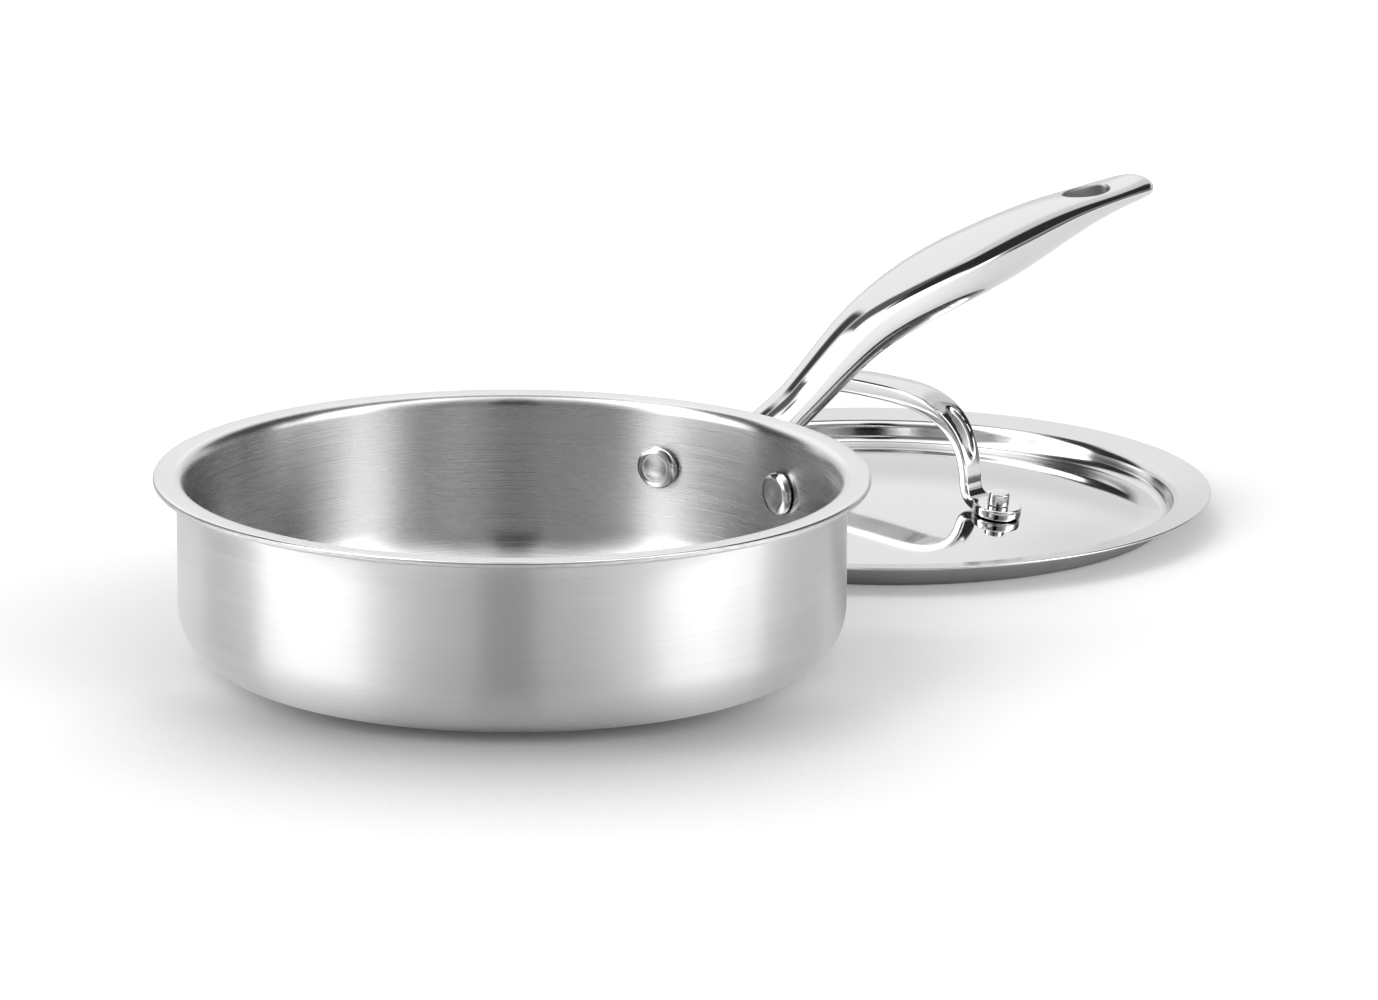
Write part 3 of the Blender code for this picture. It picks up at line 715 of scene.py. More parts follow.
class SAUTE_OT_pan_body(bpy.types.Operator):
    """Build the three bonded plies of the pan"""

    bl_idname = "saute_pan.pan_body"
    bl_label = "Pan Body"

    def execute(self, context):
        sizes, finishes = context.scene.saute_pan.pan, context.scene.saute_pan.finishes
        seam = 0.00001
        lip_blend_inset = 0.0010
        lip_roughness = 0.16
        outer_end, inner_start = sizes.skin, wall_thickness(sizes) - sizes.skin
        outer_steel = brushed_steel("satin_steel", finishes.satin, finishes.satin_roughness,
                                    grain=0.5)
        # the inner ply's lip gets the painted highlight colour
        inner_steel = brushed_steel("brushed_steel", finishes.brushed, finishes.brushed_roughness,
                                    grain=0.7, lip=finishes.lip,
                                    rings=((sizes.wall_radius - lip_blend_inset, lip_roughness),))
        plies = (
            ("outer_ply", "pan_outer_ply", "satin_steel", 0.0, outer_end, outer_steel),
            ("core_ply", "pan_core_ply", "core_aluminium", outer_end + seam, inner_start - seam,
             cut_edge("core_edge", finishes.core)),
            ("inner_ply", "pan_inner_ply", "brushed_steel", inner_start, wall_thickness(sizes),
             inner_steel),
        )
        for name, node, slot, low, high, material in plies:
            profile = ply_profile(sizes, low, high)
            piece = link_piece(name, revolved(name, profile, TURN_SEGMENTS))
            cut(piece, rivet_drills(sizes, WALL_DRILL_END))
            dress(piece, material, "pan", slot, node)
        return {"FINISHED"}


class SAUTE_OT_pan_rivets(bpy.types.Operator):
    """Build the two rivets that hold the pan's handle"""

    bl_idname = "saute_pan.pan_rivets"
    bl_label = "Pan Rivets"

    def execute(self, context):
        settings = context.scene.saute_pan
        sizes, finishes = settings.pan, settings.finishes
        seat = head_seat(sizes)
        place = radial_matrix(0.0, sizes.rivet_height) @ Matrix.Translation((0.0, 0.0, -seat))
        profile = rivet_profile(sizes, seat, settings.handle.foot_thickness)
        mesh = revolved("pan_rivets", profile, RIVET_SEGMENTS, place)
        steel = polished_steel("rivet_steel", finishes.polished, finishes.pan_rivet_roughness)
        piece = patterned("pan_rivets", mesh, ring_pattern("rivet_ring"), count=2,
                          first_bearing=-sizes.rivet_spread, bearing_step=2 * sizes.rivet_spread,
                          axis_place=(0.0, 0.0, 0.0), material=steel)
        dress(piece, steel, "pan", "rivet_steel", "pan_rivet_left", "pan_rivet_right")
        return {"FINISHED"}


# Handle


class Stations:
    """Smooth curves through a table of stations, with no break in slope or bend."""

    def __init__(self, rows):
        self.runs = np.array([row[0] for row in rows])
        self.values = np.array([row[1:] for row in rows])
        gaps = np.diff(self.runs)
        count = len(rows)
        system = np.zeros((count, count))
        right = np.zeros((count, self.values.shape[1]))
        system[0, 0] = system[-1, -1] = 1.0
        slopes = np.diff(self.values, axis=0) / gaps[:, None]
        for i in range(1, count - 1):
            before, after = gaps[i - 1], gaps[i]
            system[i, i - 1:i + 2] = before, 2 * (before + after), after
            right[i] = 6 * (slopes[i] - slopes[i - 1])
        self.bends = np.linalg.solve(system, right)
        self.gaps = gaps

    def at(self, run):
        k = int(np.clip(np.searchsorted(self.runs, run) - 1, 0, len(self.gaps) - 1))
        h = self.gaps[k]
        a, b = (self.runs[k + 1] - run) / h, (run - self.runs[k]) / h
        return (a * self.values[k] + b * self.values[k + 1]
                + ((a ** 3 - a) * self.bends[k] + (b ** 3 - b) * self.bends[k + 1]) * h * h / 6)

    def slope(self, run):
        step = 0.0002
        return atan2(self.at(run + step)[0] - self.at(run - step)[0], 2 * step)


def handle_ring(curves, pan, sizes, run, width_scale=1.0, depth_scale=1.0):
    """Section of the handle at a run from the wall, square to the handle's own slope.

    The top's section turns to an ellipse close to the tip.
    """
    ellipse_until, squarer_over = 0.007, 0.011
    rise, width, crown, belly = curves.at(run)
    slope = curves.slope(run)
    squareness = clamp((HANDLE_LENGTH - run - ellipse_until) / squarer_over)
    crown_fullness = 2.0 + (sizes.crown_fullness - 2.0) * squareness
    section = oval(width / 2 * width_scale, crown * depth_scale, belly * depth_scale,
                   crown_fullness, sizes.belly_fullness, HANDLE_POINTS)
    height = pan.rivet_height + rise
    return [Vector((pan.wall_radius + run - up * sin(slope), side, height + up * cos(slope)))
            for side, up in section]


def pill_reach(direction, half_length, radius):
    """Distance from the middle of a rounded bar to its outline in a direction of the YZ plane."""
    straight = half_length - radius
    y, z = abs(direction.y), abs(direction.z)
    if z > 1e-9 and radius / z * y <= straight:
        return radius / z
    along = straight * y
    return along + sqrt(max(along ** 2 - straight ** 2 + radius ** 2, 0.0))


def on_drum(point, radius):
    """Point moved along X onto a drum about the pan's axis."""
    return Vector((sqrt(radius ** 2 - point.y ** 2), point.y, point.z))


def foot_rings(curves, pan, sizes):
    """Sections from the foot's seat, over its edge and face, up the fillet to the neck."""
    edge = 0.0012
    seat_edge = 0.0006
    face_shares = (0.33, 0.66, 1.0)
    aim_share, leave_share, arrive_share = 0.8, 0.42, 0.45
    inner = pan.wall_radius + pan.ply_gap
    outer = inner + sizes.foot_thickness
    half_length = pan.wall_radius * sin(pan.rivet_spread) + sizes.foot_overhang
    middle = Vector((0.0, 0.0, pan.rivet_height))
    slope = curves.slope(NECK_RUN)
    back = Vector((-cos(slope), 0.0, -sin(slope)))
    # each row is an inset from the foot's outline and a height above its seat
    rows = [(seat_edge, 0.0), (0.0, seat_edge)]
    rows += [(edge * (1 - cos(angle)), sizes.foot_thickness - edge * (1 - sin(angle)))
             for angle in quarter_turn(FOOT_EDGE_STEPS)]
    columns = []
    for i, point in enumerate(handle_ring(curves, pan, sizes, NECK_RUN)):
        angle = 2 * pi * i / HANDLE_POINTS
        direction = Vector((0.0, cos(angle), sin(angle)))
        reach = pill_reach(direction, half_length, sizes.foot_height / 2)
        column = [on_drum(middle + direction * (reach - inset), inner + height)
                  for inset, height in rows]
        neck_middle = pan.rivet_height + curves.at(NECK_RUN)[0]
        section = Vector((0.0, point.y, point.z - neck_middle))
        fillet_reach = min(section.length + sizes.root_fillet, reach - edge)
        fillet = on_drum(middle + direction * fillet_reach, outer)
        for share in face_shares:
            distance = (reach - edge) * (1 - share) + fillet_reach * share
            column.append(on_drum(middle + direction * distance, outer))
        gap = (point - fillet).length
        towards = middle + direction * section.length * aim_share - fillet
        towards.x = 0.0
        first = fillet.copy()
        if towards.length > 1e-6:
            first = fillet + towards.normalized() * gap * leave_share
        first.x = on_drum(first, outer).x
        second = point + back * gap * arrive_share
        for j in range(1, FILLET_STEPS + 1):
            t = j / FILLET_STEPS
            s = 1 - t
            column.append(fillet * s ** 3 + first * 3 * s * s * t + second * 3 * s * t * t
                          + point * t ** 3)
        columns.append(column)
    return list(zip(*columns))


def handle_rings(curves, pan, sizes):
    """Every section of the handle, from its foot's seat to its rounded tip."""
    rings = foot_rings(curves, pan, sizes)
    body_end = HANDLE_LENGTH - TIP_RADIUS
    for i in range(1, HANDLE_ROWS + 1):
        run = NECK_RUN + (body_end - NECK_RUN) * i / HANDLE_ROWS
        rings.append(handle_ring(curves, pan, sizes, run))
    for i in range(1, TIP_STEPS + 1):
        angle = LAST_TIP_ANGLE * i / TIP_STEPS
        run = body_end + TIP_RADIUS * sin(angle)
        inset = max(0.0, run - HANDLE_LENGTH + sizes.tip_rounding) / sizes.tip_rounding
        depth = sqrt(max(1 - inset ** 2, 0.0))
        rings.append(handle_ring(curves, pan, sizes, run, cos(angle), depth))
    return rings


def hole_cutter(curves, pan, sizes):
    """Rod for the hanging hole, flared where it leaves the handle so that its edge is round."""
    centre = HANDLE_LENGTH - sizes.hole_from_tip
    edge = sizes.hole_edge
    clear_height, clear_share = 0.004, 1.6
    proud = 0.00002

    def section(wider, face, offset):
        """Ring on the handle's top (face 1) or underside (face -1), wider and raised by so much."""
        ring = []
        for i in range(HOLE_POINTS):
            angle = 2 * pi * i / HOLE_POINTS
            run = centre + (sizes.hole_length / 2 + wider) * cos(angle)
            y = (sizes.hole_width / 2 + wider) * sin(angle)
            rise, width, crown, belly = curves.at(run)
            fullness = sizes.crown_fullness if face > 0 else sizes.belly_fullness
            reach = crown if face > 0 else -belly
            share = (1 - min(abs(y) / (width / 2), 1.0) ** fullness) ** (1 / fullness)
            height = pan.rivet_height + rise + reach * share / cos(curves.slope(run))
            ring.append(Vector((pan.wall_radius + run, y, height + offset)))
        return ring

    def flare(face):
        """Rings from far outside a face to the hole's own width."""
        rings = [section(edge * clear_share, face, face * clear_height),
                 section(edge, face, face * proud)]
        return rings + [section(edge * (1 - sin(angle)), face, -face * edge * (1 - cos(angle)))
                        for angle in quarter_turn(HOLE_EDGE_STEPS)[1:]]

    return lofted("hanging_hole", flare(-1) + flare(1)[::-1])


class SAUTE_OT_pan_handle(bpy.types.Operator):
    """Build the cast handle with its foot and hanging hole"""

    bl_idname = "saute_pan.pan_handle"
    bl_label = "Pan Handle"

    def execute(self, context):
        settings = context.scene.saute_pan
        pan, sizes, finishes = settings.pan, settings.handle, settings.finishes
        curves = Stations(HANDLE_STATIONS)
        mesh = lofted("cast_handle", handle_rings(curves, pan, sizes))
        piece = link_piece("cast_handle", mesh)
        cut(piece, [hole_cutter(curves, pan, sizes)] + rivet_drills(pan, FOOT_DRILL_END))
        middle = pan.wall_radius + HANDLE_LENGTH - sizes.hole_from_tip
        # the hanging hole's inside gets painted shade in this steel
        steel = polished_steel("polished_steel", finishes.polished, finishes.polished_roughness,
                               shaded_hole=(middle, sizes.hole_length / 2, sizes.hole_width / 2))
        dress(piece, steel, "pan", "polished_steel", "pan_handle")
        return {"FINISHED"}


# Lid


def crown_sphere(sizes):
    """Radius of the dome's under face and the height of its centre."""
    sphere = sizes.crown_radius / sin(sizes.dome_slope)
    skirt_top = (sizes.dome_radius - sizes.crown_radius) * tan(sizes.dome_slope)
    return sphere, skirt_top - sphere * cos(sizes.dome_slope)


def lid_surface(sizes, depth):
    """Half section of the lid at a depth above its lower face, from the axis to its edge."""
    sphere, centre = crown_sphere(sizes)
    slope, lean = sizes.flange_slope, sizes.wall_lean
    top_fillet, valley_fillet = sizes.top_fillet, sizes.valley_fillet
    crown = arc((0.0, centre), sphere + depth, pi / 2, pi / 2 - sizes.dome_slope, DOME_ROWS)
    dome_edge = (sizes.dome_radius + depth * tan(sizes.dome_slope / 2), depth)
    top_x = sizes.plug_radius + top_fillet * cos(lean)
    length = (LID_EDGE_RADIUS - top_x + top_fillet * sin(slope)) / cos(slope)
    top_z = sizes.height - (top_fillet + sizes.thickness) * cos(slope) - length * sin(slope)
    rise = top_z + top_fillet * sin(lean) - valley_fillet * (1 - sin(lean))
    valley_x = sizes.plug_radius - rise * tan(lean) - valley_fillet * cos(lean)
    valley = arc((valley_x, valley_fillet), valley_fillet - depth, -pi / 2, -lean, CORNER_STEPS)
    top = arc((top_x, top_z), top_fillet + depth, pi - lean, pi / 2 + slope, CORNER_STEPS)
    last = top[-1]
    edge = (last[0] + length * cos(slope), last[1] + length * sin(slope))
    points = [(0.0, crown[0][1])] + crown[1:]
    points += rows_between(crown[-1], dome_edge, SKIRT_ROWS) + [dome_edge]
    points += valley + rows_between(valley[-1], top[0], STEP_ROWS) + top
    return points + rows_between(last, edge, FLANGE_ROWS) + [edge]


def lid_profile(sizes):
    """Closed section of the cover, with a round edge on the flange."""
    upper, lower = lid_surface(sizes, sizes.thickness), lid_surface(sizes, 0.0)
    top, bottom = Vector(upper[-1]), Vector(lower[-1])
    middle, across = (top + bottom) / 2, (top - bottom) / 2
    along = Vector((across.y, -across.x))
    if along.x < 0:
        along = -along
    middle -= along
    angles = [pi / 2 - pi * i / RIM_STEPS for i in range(RIM_STEPS + 1)]
    edge = [tuple(middle + across * sin(angle) + along * cos(angle)) for angle in angles]
    return upper[:-1] + edge + lower[:-1][::-1]


def lid_matrix():
    return Matrix.Translation((LID_X, LID_Y, 0.0))


def strap_matrix(sizes):
    return lid_matrix() @ Matrix.Rotation(sizes.handle_bearing, 4, "Z")


def pad_frame(sizes):
    """Place on the dome of the foot on the strap's +X side: Z is square to the dome."""
    sphere, centre = crown_sphere(sizes)
    seat = sphere + sizes.thickness + SEAT_GAP
    tilt = asin(sizes.arch_span / 2 / (seat + sizes.pad_thickness))
    return Matrix.Translation((0.0, 0.0, centre)) @ Matrix.Rotation(tilt, 4, "Y"), seat, centre


def leg_share(sizes, base, height):
    """How far down the leg a height lies: none at the top of the strap, all at the lid."""
    share = clamp(1 - (height - base) / sizes.arch_height)
    return 1 - (1 - share) ** 3


def strap_path(sizes):
    """Half of the strap from its top to the lid, its frame on the dome, and the height it ends at.

    Each entry is the middle line's point, the way out of the outer face, half the width and half
    the thickness, all in the plane through both feet.
    """
    frame_matrix, seat, centre = pad_frame(sizes)
    base = centre + sqrt(seat ** 2 - sizes.arch_half_width ** 2)
    reach, height, fullness = sizes.arch_half_width, sizes.arch_height, sizes.arch_fullness
    power = 2 / fullness
    path = []
    for i in range(STRAP_ROWS + 1):
        angle = pi / 2 * i / STRAP_ROWS
        x = reach * sin(angle) ** power
        z = base + height * max(cos(angle), 0.0) ** power
        normal = Vector(((x / reach) ** (fullness - 1) / reach, 0.0,
                         ((z - base) / height) ** (fullness - 1) / height))
        share = leg_share(sizes, base, z)
        width = sizes.strap_top_width + (sizes.strap_leg_width - sizes.strap_top_width) * share
        thickness = (sizes.strap_top_thickness
                     + (sizes.strap_leg_thickness - sizes.strap_top_thickness) * share)
        path.append((Vector((x, 0.0, z)), normal.normalized(), width / 2, thickness / 2))
    return path, frame_matrix, seat, base


def bent_path(sizes):
    """The strap's half path, with its leg turned outward into the flat round foot."""
    bend = 0.0058
    end_rounding = 0.0008
    thinnest = 0.00005
    path, frame_matrix, seat, base = strap_path(sizes)
    half_foot, half_leg = sizes.pad_thickness / 2, sizes.strap_leg_width / 2
    pad_radius = sizes.pad_radius
    foot_middle = frame_matrix @ Vector((0.0, 0.0, seat + half_foot))
    foot_out = (frame_matrix.to_3x3() @ Vector((1.0, 0.0, 0.0))).normalized()
    foot_up = (frame_matrix.to_3x3() @ Vector((0.0, 0.0, 1.0))).normalized()
    # where the leg's middle line meets the foot's middle line
    corner = foot_middle + foot_out * ((sizes.arch_half_width - foot_middle.x) / foot_out.x)
    made = [entry for entry in path if entry[0].z > corner.z + bend]
    start, last_normal, last_width, last_depth = made[-1]
    end = corner + foot_out * bend
    end_width = sqrt(max(pad_radius ** 2 - (end - foot_middle).length ** 2, half_leg ** 2))
    for i in range(1, BEND_STEPS + 1):
        t = i / BEND_STEPS
        s = 1 - t
        point = start * s * s + corner * 2 * s * t + end * t * t
        normal = (last_normal * s + foot_up * t).normalized()
        width = last_width * s ** 2 + last_width * 2 * s * t + end_width * t * t
        made.append((point, normal, width, last_depth * s + half_foot * t))
    span = (foot_middle + foot_out * pad_radius - end).length
    for i in range(1, PAD_STEPS + 1):
        t = sin(pi / 2 * i / PAD_STEPS)
        point = end + foot_out * span * t
        distance = (point - foot_middle).dot(foot_out)
        width = sqrt(max(pad_radius ** 2 - distance ** 2, 0.0))
        if distance < 0:
            width = max(width, half_leg)
            blend = min((distance + pad_radius) / pad_radius, 1.0)
            width = max(width, half_leg * (1 - blend) + width * blend)
        left = span * (1 - t)
        depth = half_foot
        if left < end_rounding:
            curve = sqrt(max(1 - (1 - left / end_rounding) ** 2, 0.0))
            depth = half_foot - end_rounding + end_rounding * curve
        made.append((point, foot_up, max(width, thinnest), depth))
    return made, base


def rounded_section(half_width, half_height, radius):
    """Rounded rectangle with evenly spread points on its long sides, from the middle of one end."""
    most = 0.95
    radius = min(radius, half_width * most, half_height * most)
    w, h = half_width - radius, half_height - radius
    corner = arc((w, h), radius, 0.0, pi / 2, STRAP_CORNER_STEPS)
    face = [(w - 2 * w * i / STRAP_FACE_STEPS, half_height) for i in range(1, STRAP_FACE_STEPS)]
    upper = corner + face + arc((-w, h), radius, pi / 2, pi, STRAP_CORNER_STEPS)
    return upper + [(x, -y) for x, y in reversed(upper)]


def pocket_dip(sizes, arch_angle, side):
    """Depth of the long dish in the leg's outer face at a place along and across the strap."""
    fullness = 2.4
    outline, slope_width = 1.08, 0.42
    along = (arch_angle - (POCKET_START + POCKET_END) / 2) / ((POCKET_END - POCKET_START) / 2)
    across = side / (sizes.pocket_width / 2)
    distance = (abs(along) ** fullness + abs(across) ** fullness) ** (1 / fullness)
    share = clamp((outline - distance) / slope_width)
    return sizes.pocket_depth * share * share * (3 - 2 * share)


def strap_rings(sizes):
    """Sections of the whole strap from foot to foot, and how deep in a pocket each point lies."""
    edge_radius = 0.0009
    face_share = 0.98
    half, base = bent_path(sizes)
    rings, dishes = [], []
    mirrored = [(-1, entry) for entry in reversed(half[1:])] + [(1, entry) for entry in half]
    for side, (point, normal, half_width, half_thickness) in mirrored:
        centre = Vector((point.x * side, 0.0, point.z))
        out = Vector((normal.x * side, 0.0, normal.z))
        height_share = clamp((point.z - base) / sizes.arch_height)
        arch_angle = acos(height_share ** (sizes.arch_fullness / 2))
        crown = sizes.strap_crown * (1 - leg_share(sizes, base, point.z))
        on_leg = point.x <= sizes.arch_half_width + 1e-6
        ring = []
        for across, up in rounded_section(half_width, half_thickness, edge_radius):
            outer_face = up > half_thickness * face_share
            dip = pocket_dip(sizes, arch_angle, across) if outer_face and on_leg else 0.0
            dishes.append(dip / sizes.pocket_depth)
            up -= dip
            up -= crown * (across / half_width) ** 2 * clamp(up / half_thickness)
            ring.append(centre + Vector((0.0, across, 0.0)) + out * up)
        rings.append(ring)
    return rings, dishes


def lid_drills(sizes):
    """Two rods where the lid's rivets pass."""
    frame_matrix, seat, _ = pad_frame(sizes)
    radius = LID_SHANK_RADIUS + SEAT_GAP
    low, high = seat - 3 * sizes.pad_thickness, seat + 3 * sizes.pad_thickness
    profile = [(0.0, high), (radius, high), (radius, low), (0.0, low)]
    places = [strap_matrix(sizes) @ Matrix.Rotation(swing, 4, "Z") @ frame_matrix
              for swing in (0.0, pi)]
    return [revolved("drill", profile, DRILL_SEGMENTS, place) for place in places]


def stud_profile(sizes, seat):
    """Half section of a lid rivet, measured from the dome's centre, from its stud to its tail."""
    tail_radius, tail_height = 0.0052, 0.0012
    rounding = 0.0006
    stud_seat = seat + sizes.pad_thickness + SEAT_GAP
    top = stud_seat + sizes.stud_height
    tail = crown_sphere(sizes)[0] - SEAT_GAP
    profile = [(0.0, top)]
    profile += [(sizes.stud_radius - rounding + rounding * sin(angle),
                 top - rounding + rounding * cos(angle)) for angle in quarter_turn(STUD_STEPS)]
    profile += [(sizes.stud_radius, stud_seat), (LID_SHANK_RADIUS, stud_seat),
                (LID_SHANK_RADIUS, tail), (tail_radius, tail)]
    profile += [(tail_radius - rounding + rounding * cos(angle),
                 tail - tail_height + rounding - rounding * sin(angle))
                for angle in quarter_turn(STUD_STEPS)]
    return profile + [(0.0, tail - tail_height)]


class SAUTE_OT_lid_cover(bpy.types.Operator):
    """Build the pressed lid cover"""

    bl_idname = "saute_pan.lid_cover"
    bl_label = "Lid Cover"

    def execute(self, context):
        sizes, finishes = context.scene.saute_pan.lid, context.scene.saute_pan.finishes
        mesh = revolved("cover", lid_profile(sizes), TURN_SEGMENTS, lid_matrix())
        piece = link_piece("cover", mesh)
        cut(piece, lid_drills(sizes))
        step_roughness, flange_roughness = 0.13, 0.24
        step_start = sizes.dome_radius - 0.0010
        flange_start = sizes.plug_radius + 0.0015
        rings = ((step_start, step_roughness), (flange_start, flange_roughness))
        steel = brushed_steel("lid_steel", finishes.lid, finishes.lid_roughness,
                              centre=(LID_X, LID_Y), grain=0.06, spread=0.5, rings=rings)
        dress(piece, steel, "lid", "lid_steel", "lid_cover")
        return {"FINISHED"}


class SAUTE_OT_lid_handle(bpy.types.Operator):
    """Build the lid's strap handle with its feet and pockets"""

    bl_idname = "saute_pan.lid_handle"
    bl_label = "Lid Handle"

    def execute(self, context):
        sizes, finishes = context.scene.saute_pan.lid, context.scene.saute_pan.finishes
        sharp_degrees = 50.0
        duller, ripple = 0.04, 0.6
        rings, dishes = strap_rings(sizes)
        mesh = lofted("strap_handle", rings, sharp_degrees)
        dish = mesh.attributes.new("dish", "FLOAT", "POINT")
        dish.data.foreach_set("value", dishes + [0.0] * (len(mesh.vertices) - len(dishes)))
        mesh.transform(strap_matrix(sizes))
        piece = link_piece("strap_handle", mesh)
        cut(piece, lid_drills(sizes))
        steel = polished_steel("strap_steel", finishes.polished,
                               finishes.polished_roughness + duller, ripple, cast="dish")
        dress(piece, steel, "lid", "polished_steel", "lid_handle")
        return {"FINISHED"}


class SAUTE_OT_lid_rivets(bpy.types.Operator):
    """Build the two rivets that hold the lid's handle"""

    bl_idname = "saute_pan.lid_rivets"
    bl_label = "Lid Rivets"

    def execute(self, context):
        sizes, finishes = context.scene.saute_pan.lid, context.scene.saute_pan.finishes
        frame_matrix, seat, _ = pad_frame(sizes)
        turned = Matrix.Rotation(sizes.handle_bearing, 4, "Z") @ frame_matrix
        mesh = revolved("lid_rivets", stud_profile(sizes, seat), RIVET_SEGMENTS, turned)
        steel = polished_steel("lid_rivet_steel", finishes.polished, finishes.lid_rivet_roughness)
        tree = bpy.data.node_groups.get("rivet_ring") or ring_pattern("rivet_ring")
        piece = patterned("lid_rivets", mesh, tree, count=2, first_bearing=0.0, bearing_step=pi,
                          axis_place=(LID_X, LID_Y, 0.0), material=steel)
        dress(piece, steel, "lid", "rivet_steel", "lid_rivet_front", "lid_rivet_rear")
        return {"FINISHED"}


# Stage


VIEW_BEARING = radians(40.94)
VIEW_AHEAD = (cos(VIEW_BEARING), sin(VIEW_BEARING), 0.0)
VIEW_RIGHT = (sin(VIEW_BEARING), -cos(VIEW_BEARING), 0.0)


def add_camera():
    """Camera at the photograph's viewing angle."""
    distance, height, side, tilt, roll = 2.406571, 0.657661, 0.0547793, 0.2472348, 0.00694891
    focal_pixels, picture_pixels, sensor = 8000, 1378, 36.0
    ahead, right, up = Vector(VIEW_AHEAD), Vector(VIEW_RIGHT), Vector((0.0, 0.0, 1.0))
    forward = ahead * cos(tilt) - up * sin(tilt)
    above = ahead * sin(tilt) + up * cos(tilt)
    camera_right = right * cos(roll) + above * sin(roll)
    camera_up = above * cos(roll) - right * sin(roll)
    matrix = Matrix((camera_right, camera_up, -forward)).transposed().to_4x4()
    matrix.translation = right * side - ahead * distance + up * height
    data = bpy.data.cameras.new("camera")
    data.sensor_width = sensor
    data.lens = focal_pixels / picture_pixels * sensor
    data.clip_end = 50.0
    camera = bpy.data.objects.new("camera", data)
    camera.matrix_world = matrix
    bpy.context.scene.collection.objects.link(camera)
    bpy.context.scene.camera = camera


def studio_light(settings):
    """Soft studio as the world: pale all round, with softboxes and a few darker gaps.

    Each panel is its bearing to the right of the view, half its width, its height angle, half its
    height, its softness, all in degrees, and its brightness. A later panel covers an earlier one.
    """
    side, back = settings.softbox, settings.backdrop
    panels = (
        # the two softboxes, their low edges and one above on the left
        (-102, 27, 38, 32, 16, side), (101, 25, 44, 38, 16, side),
        (-94, 18, 2, 12, 12, 2.2), (94, 20, 2, 12, 12, 2.5), (-72, 25, 74, 10, 8, 2.2),
        # the dim right, the dark above, and the backdrop with its paler and dimmer parts
        (62, 24, 6, 12, 8, 0.18), (5, 42, 68, 11, 6, 0.12), (-8, 40, 25, 32, 8, back),
        (0, 48, 2, 13, 10, 0.78), (24, 12, 26, 30, 10, 0.72),
        # dark flags beside the backdrop
        (63, 33, 46, 28, 10, 0.03), (-70, 16, 22, 26, 5, 0.03), (-60, 16, 49, 8, 6, 0.03),
        (-36, 14, 50, 6, 6, 0.06),
        # the photographer's side
        (180, 36, 14, 46, 20, 0.20), (180, 9.5, 14, 56, 3, 0.0),
    )
    overhead = (45.0, 62.0, 0.50, 1.25)
    horizon_low, horizon_high, ground = -0.6, 0.2, 0.10
    world = bpy.data.worlds.new("studio")
    bpy.context.scene.world = world
    world.use_nodes = True
    world.cycles.sampling_method = "NONE"
    tree = Tree(world.node_tree)
    tree.nodes.clear()
    ray = tree.add("ShaderNodeTexCoord").outputs["Generated"]
    ahead = tree.vector("DOT_PRODUCT", ray, VIEW_AHEAD)
    right = tree.vector("DOT_PRODUCT", ray, VIEW_RIGHT)
    bearing = tree.math("DEGREES", tree.math("ARCTAN2", right, ahead))
    climb = tree.math("DEGREES", tree.math("ARCSINE", tree.parts(ray)[2]))
    level = tree.ramp(climb, *overhead)

    def inside(distance, half, soft):
        """1 within half a panel's size of its middle and 0 beyond, with a soft edge."""
        return tree.ramp(distance, half - soft / 2, half + soft / 2, 1.0, 0.0)

    for centre, half_width, middle, half_height, soft, brightness in panels:
        off = tree.math("WRAP", tree.less(bearing, float(centre)), 180.0, -180.0)
        lift = tree.less(climb, float(middle))
        mask = tree.times(inside(tree.math("ABSOLUTE", off), half_width, soft),
                          inside(tree.math("ABSOLUTE", lift), half_height, soft))
        level = tree.plus(tree.times(level, tree.less(1.0, mask)), tree.times(mask, brightness))
    above_ground = tree.ramp(climb, horizon_low, horizon_high)
    level = tree.times(level, tree.ramp(above_ground, 0.0, 1.0, ground, 1.0))
    camera_ray = tree.add("ShaderNodeLightPath").outputs["Is Camera Ray"]
    level = tree.plus(tree.times(level, tree.less(1.0, camera_ray)), camera_ray)
    background = tree.add("ShaderNodeBackground", Color=(1.0, 1.0, 1.0, 1.0), Strength=level)
    tree.links.new(background.outputs[0], tree.add("ShaderNodeOutputWorld").inputs[0])


def table_glow(tree, sideways, ahead, near_lid, metal_ray, camera_ray):
    """Light that the table adds for the camera, and for the metal beside and past the pan."""
    for_camera, beside_pan, past_pan = 0.26, 0.35, 0.70
    beside = tree.times(tree.ramp(sideways, 0.006, 0.11), tree.ramp(ahead, 0.05, 0.25, 1.0, 0.0))
    past = tree.times(tree.ramp(sideways, 0.15, 0.185), tree.ramp(ahead, -0.05, 0.02, 1.0, 0.0))
    in_metal = tree.plus(tree.times(beside, beside_pan), tree.times(past, past_pan))
    in_metal = tree.times(tree.times(in_metal, tree.less(1.0, near_lid)), metal_ray)
    return tree.plus(tree.times(camera_ray, for_camera), in_metal)


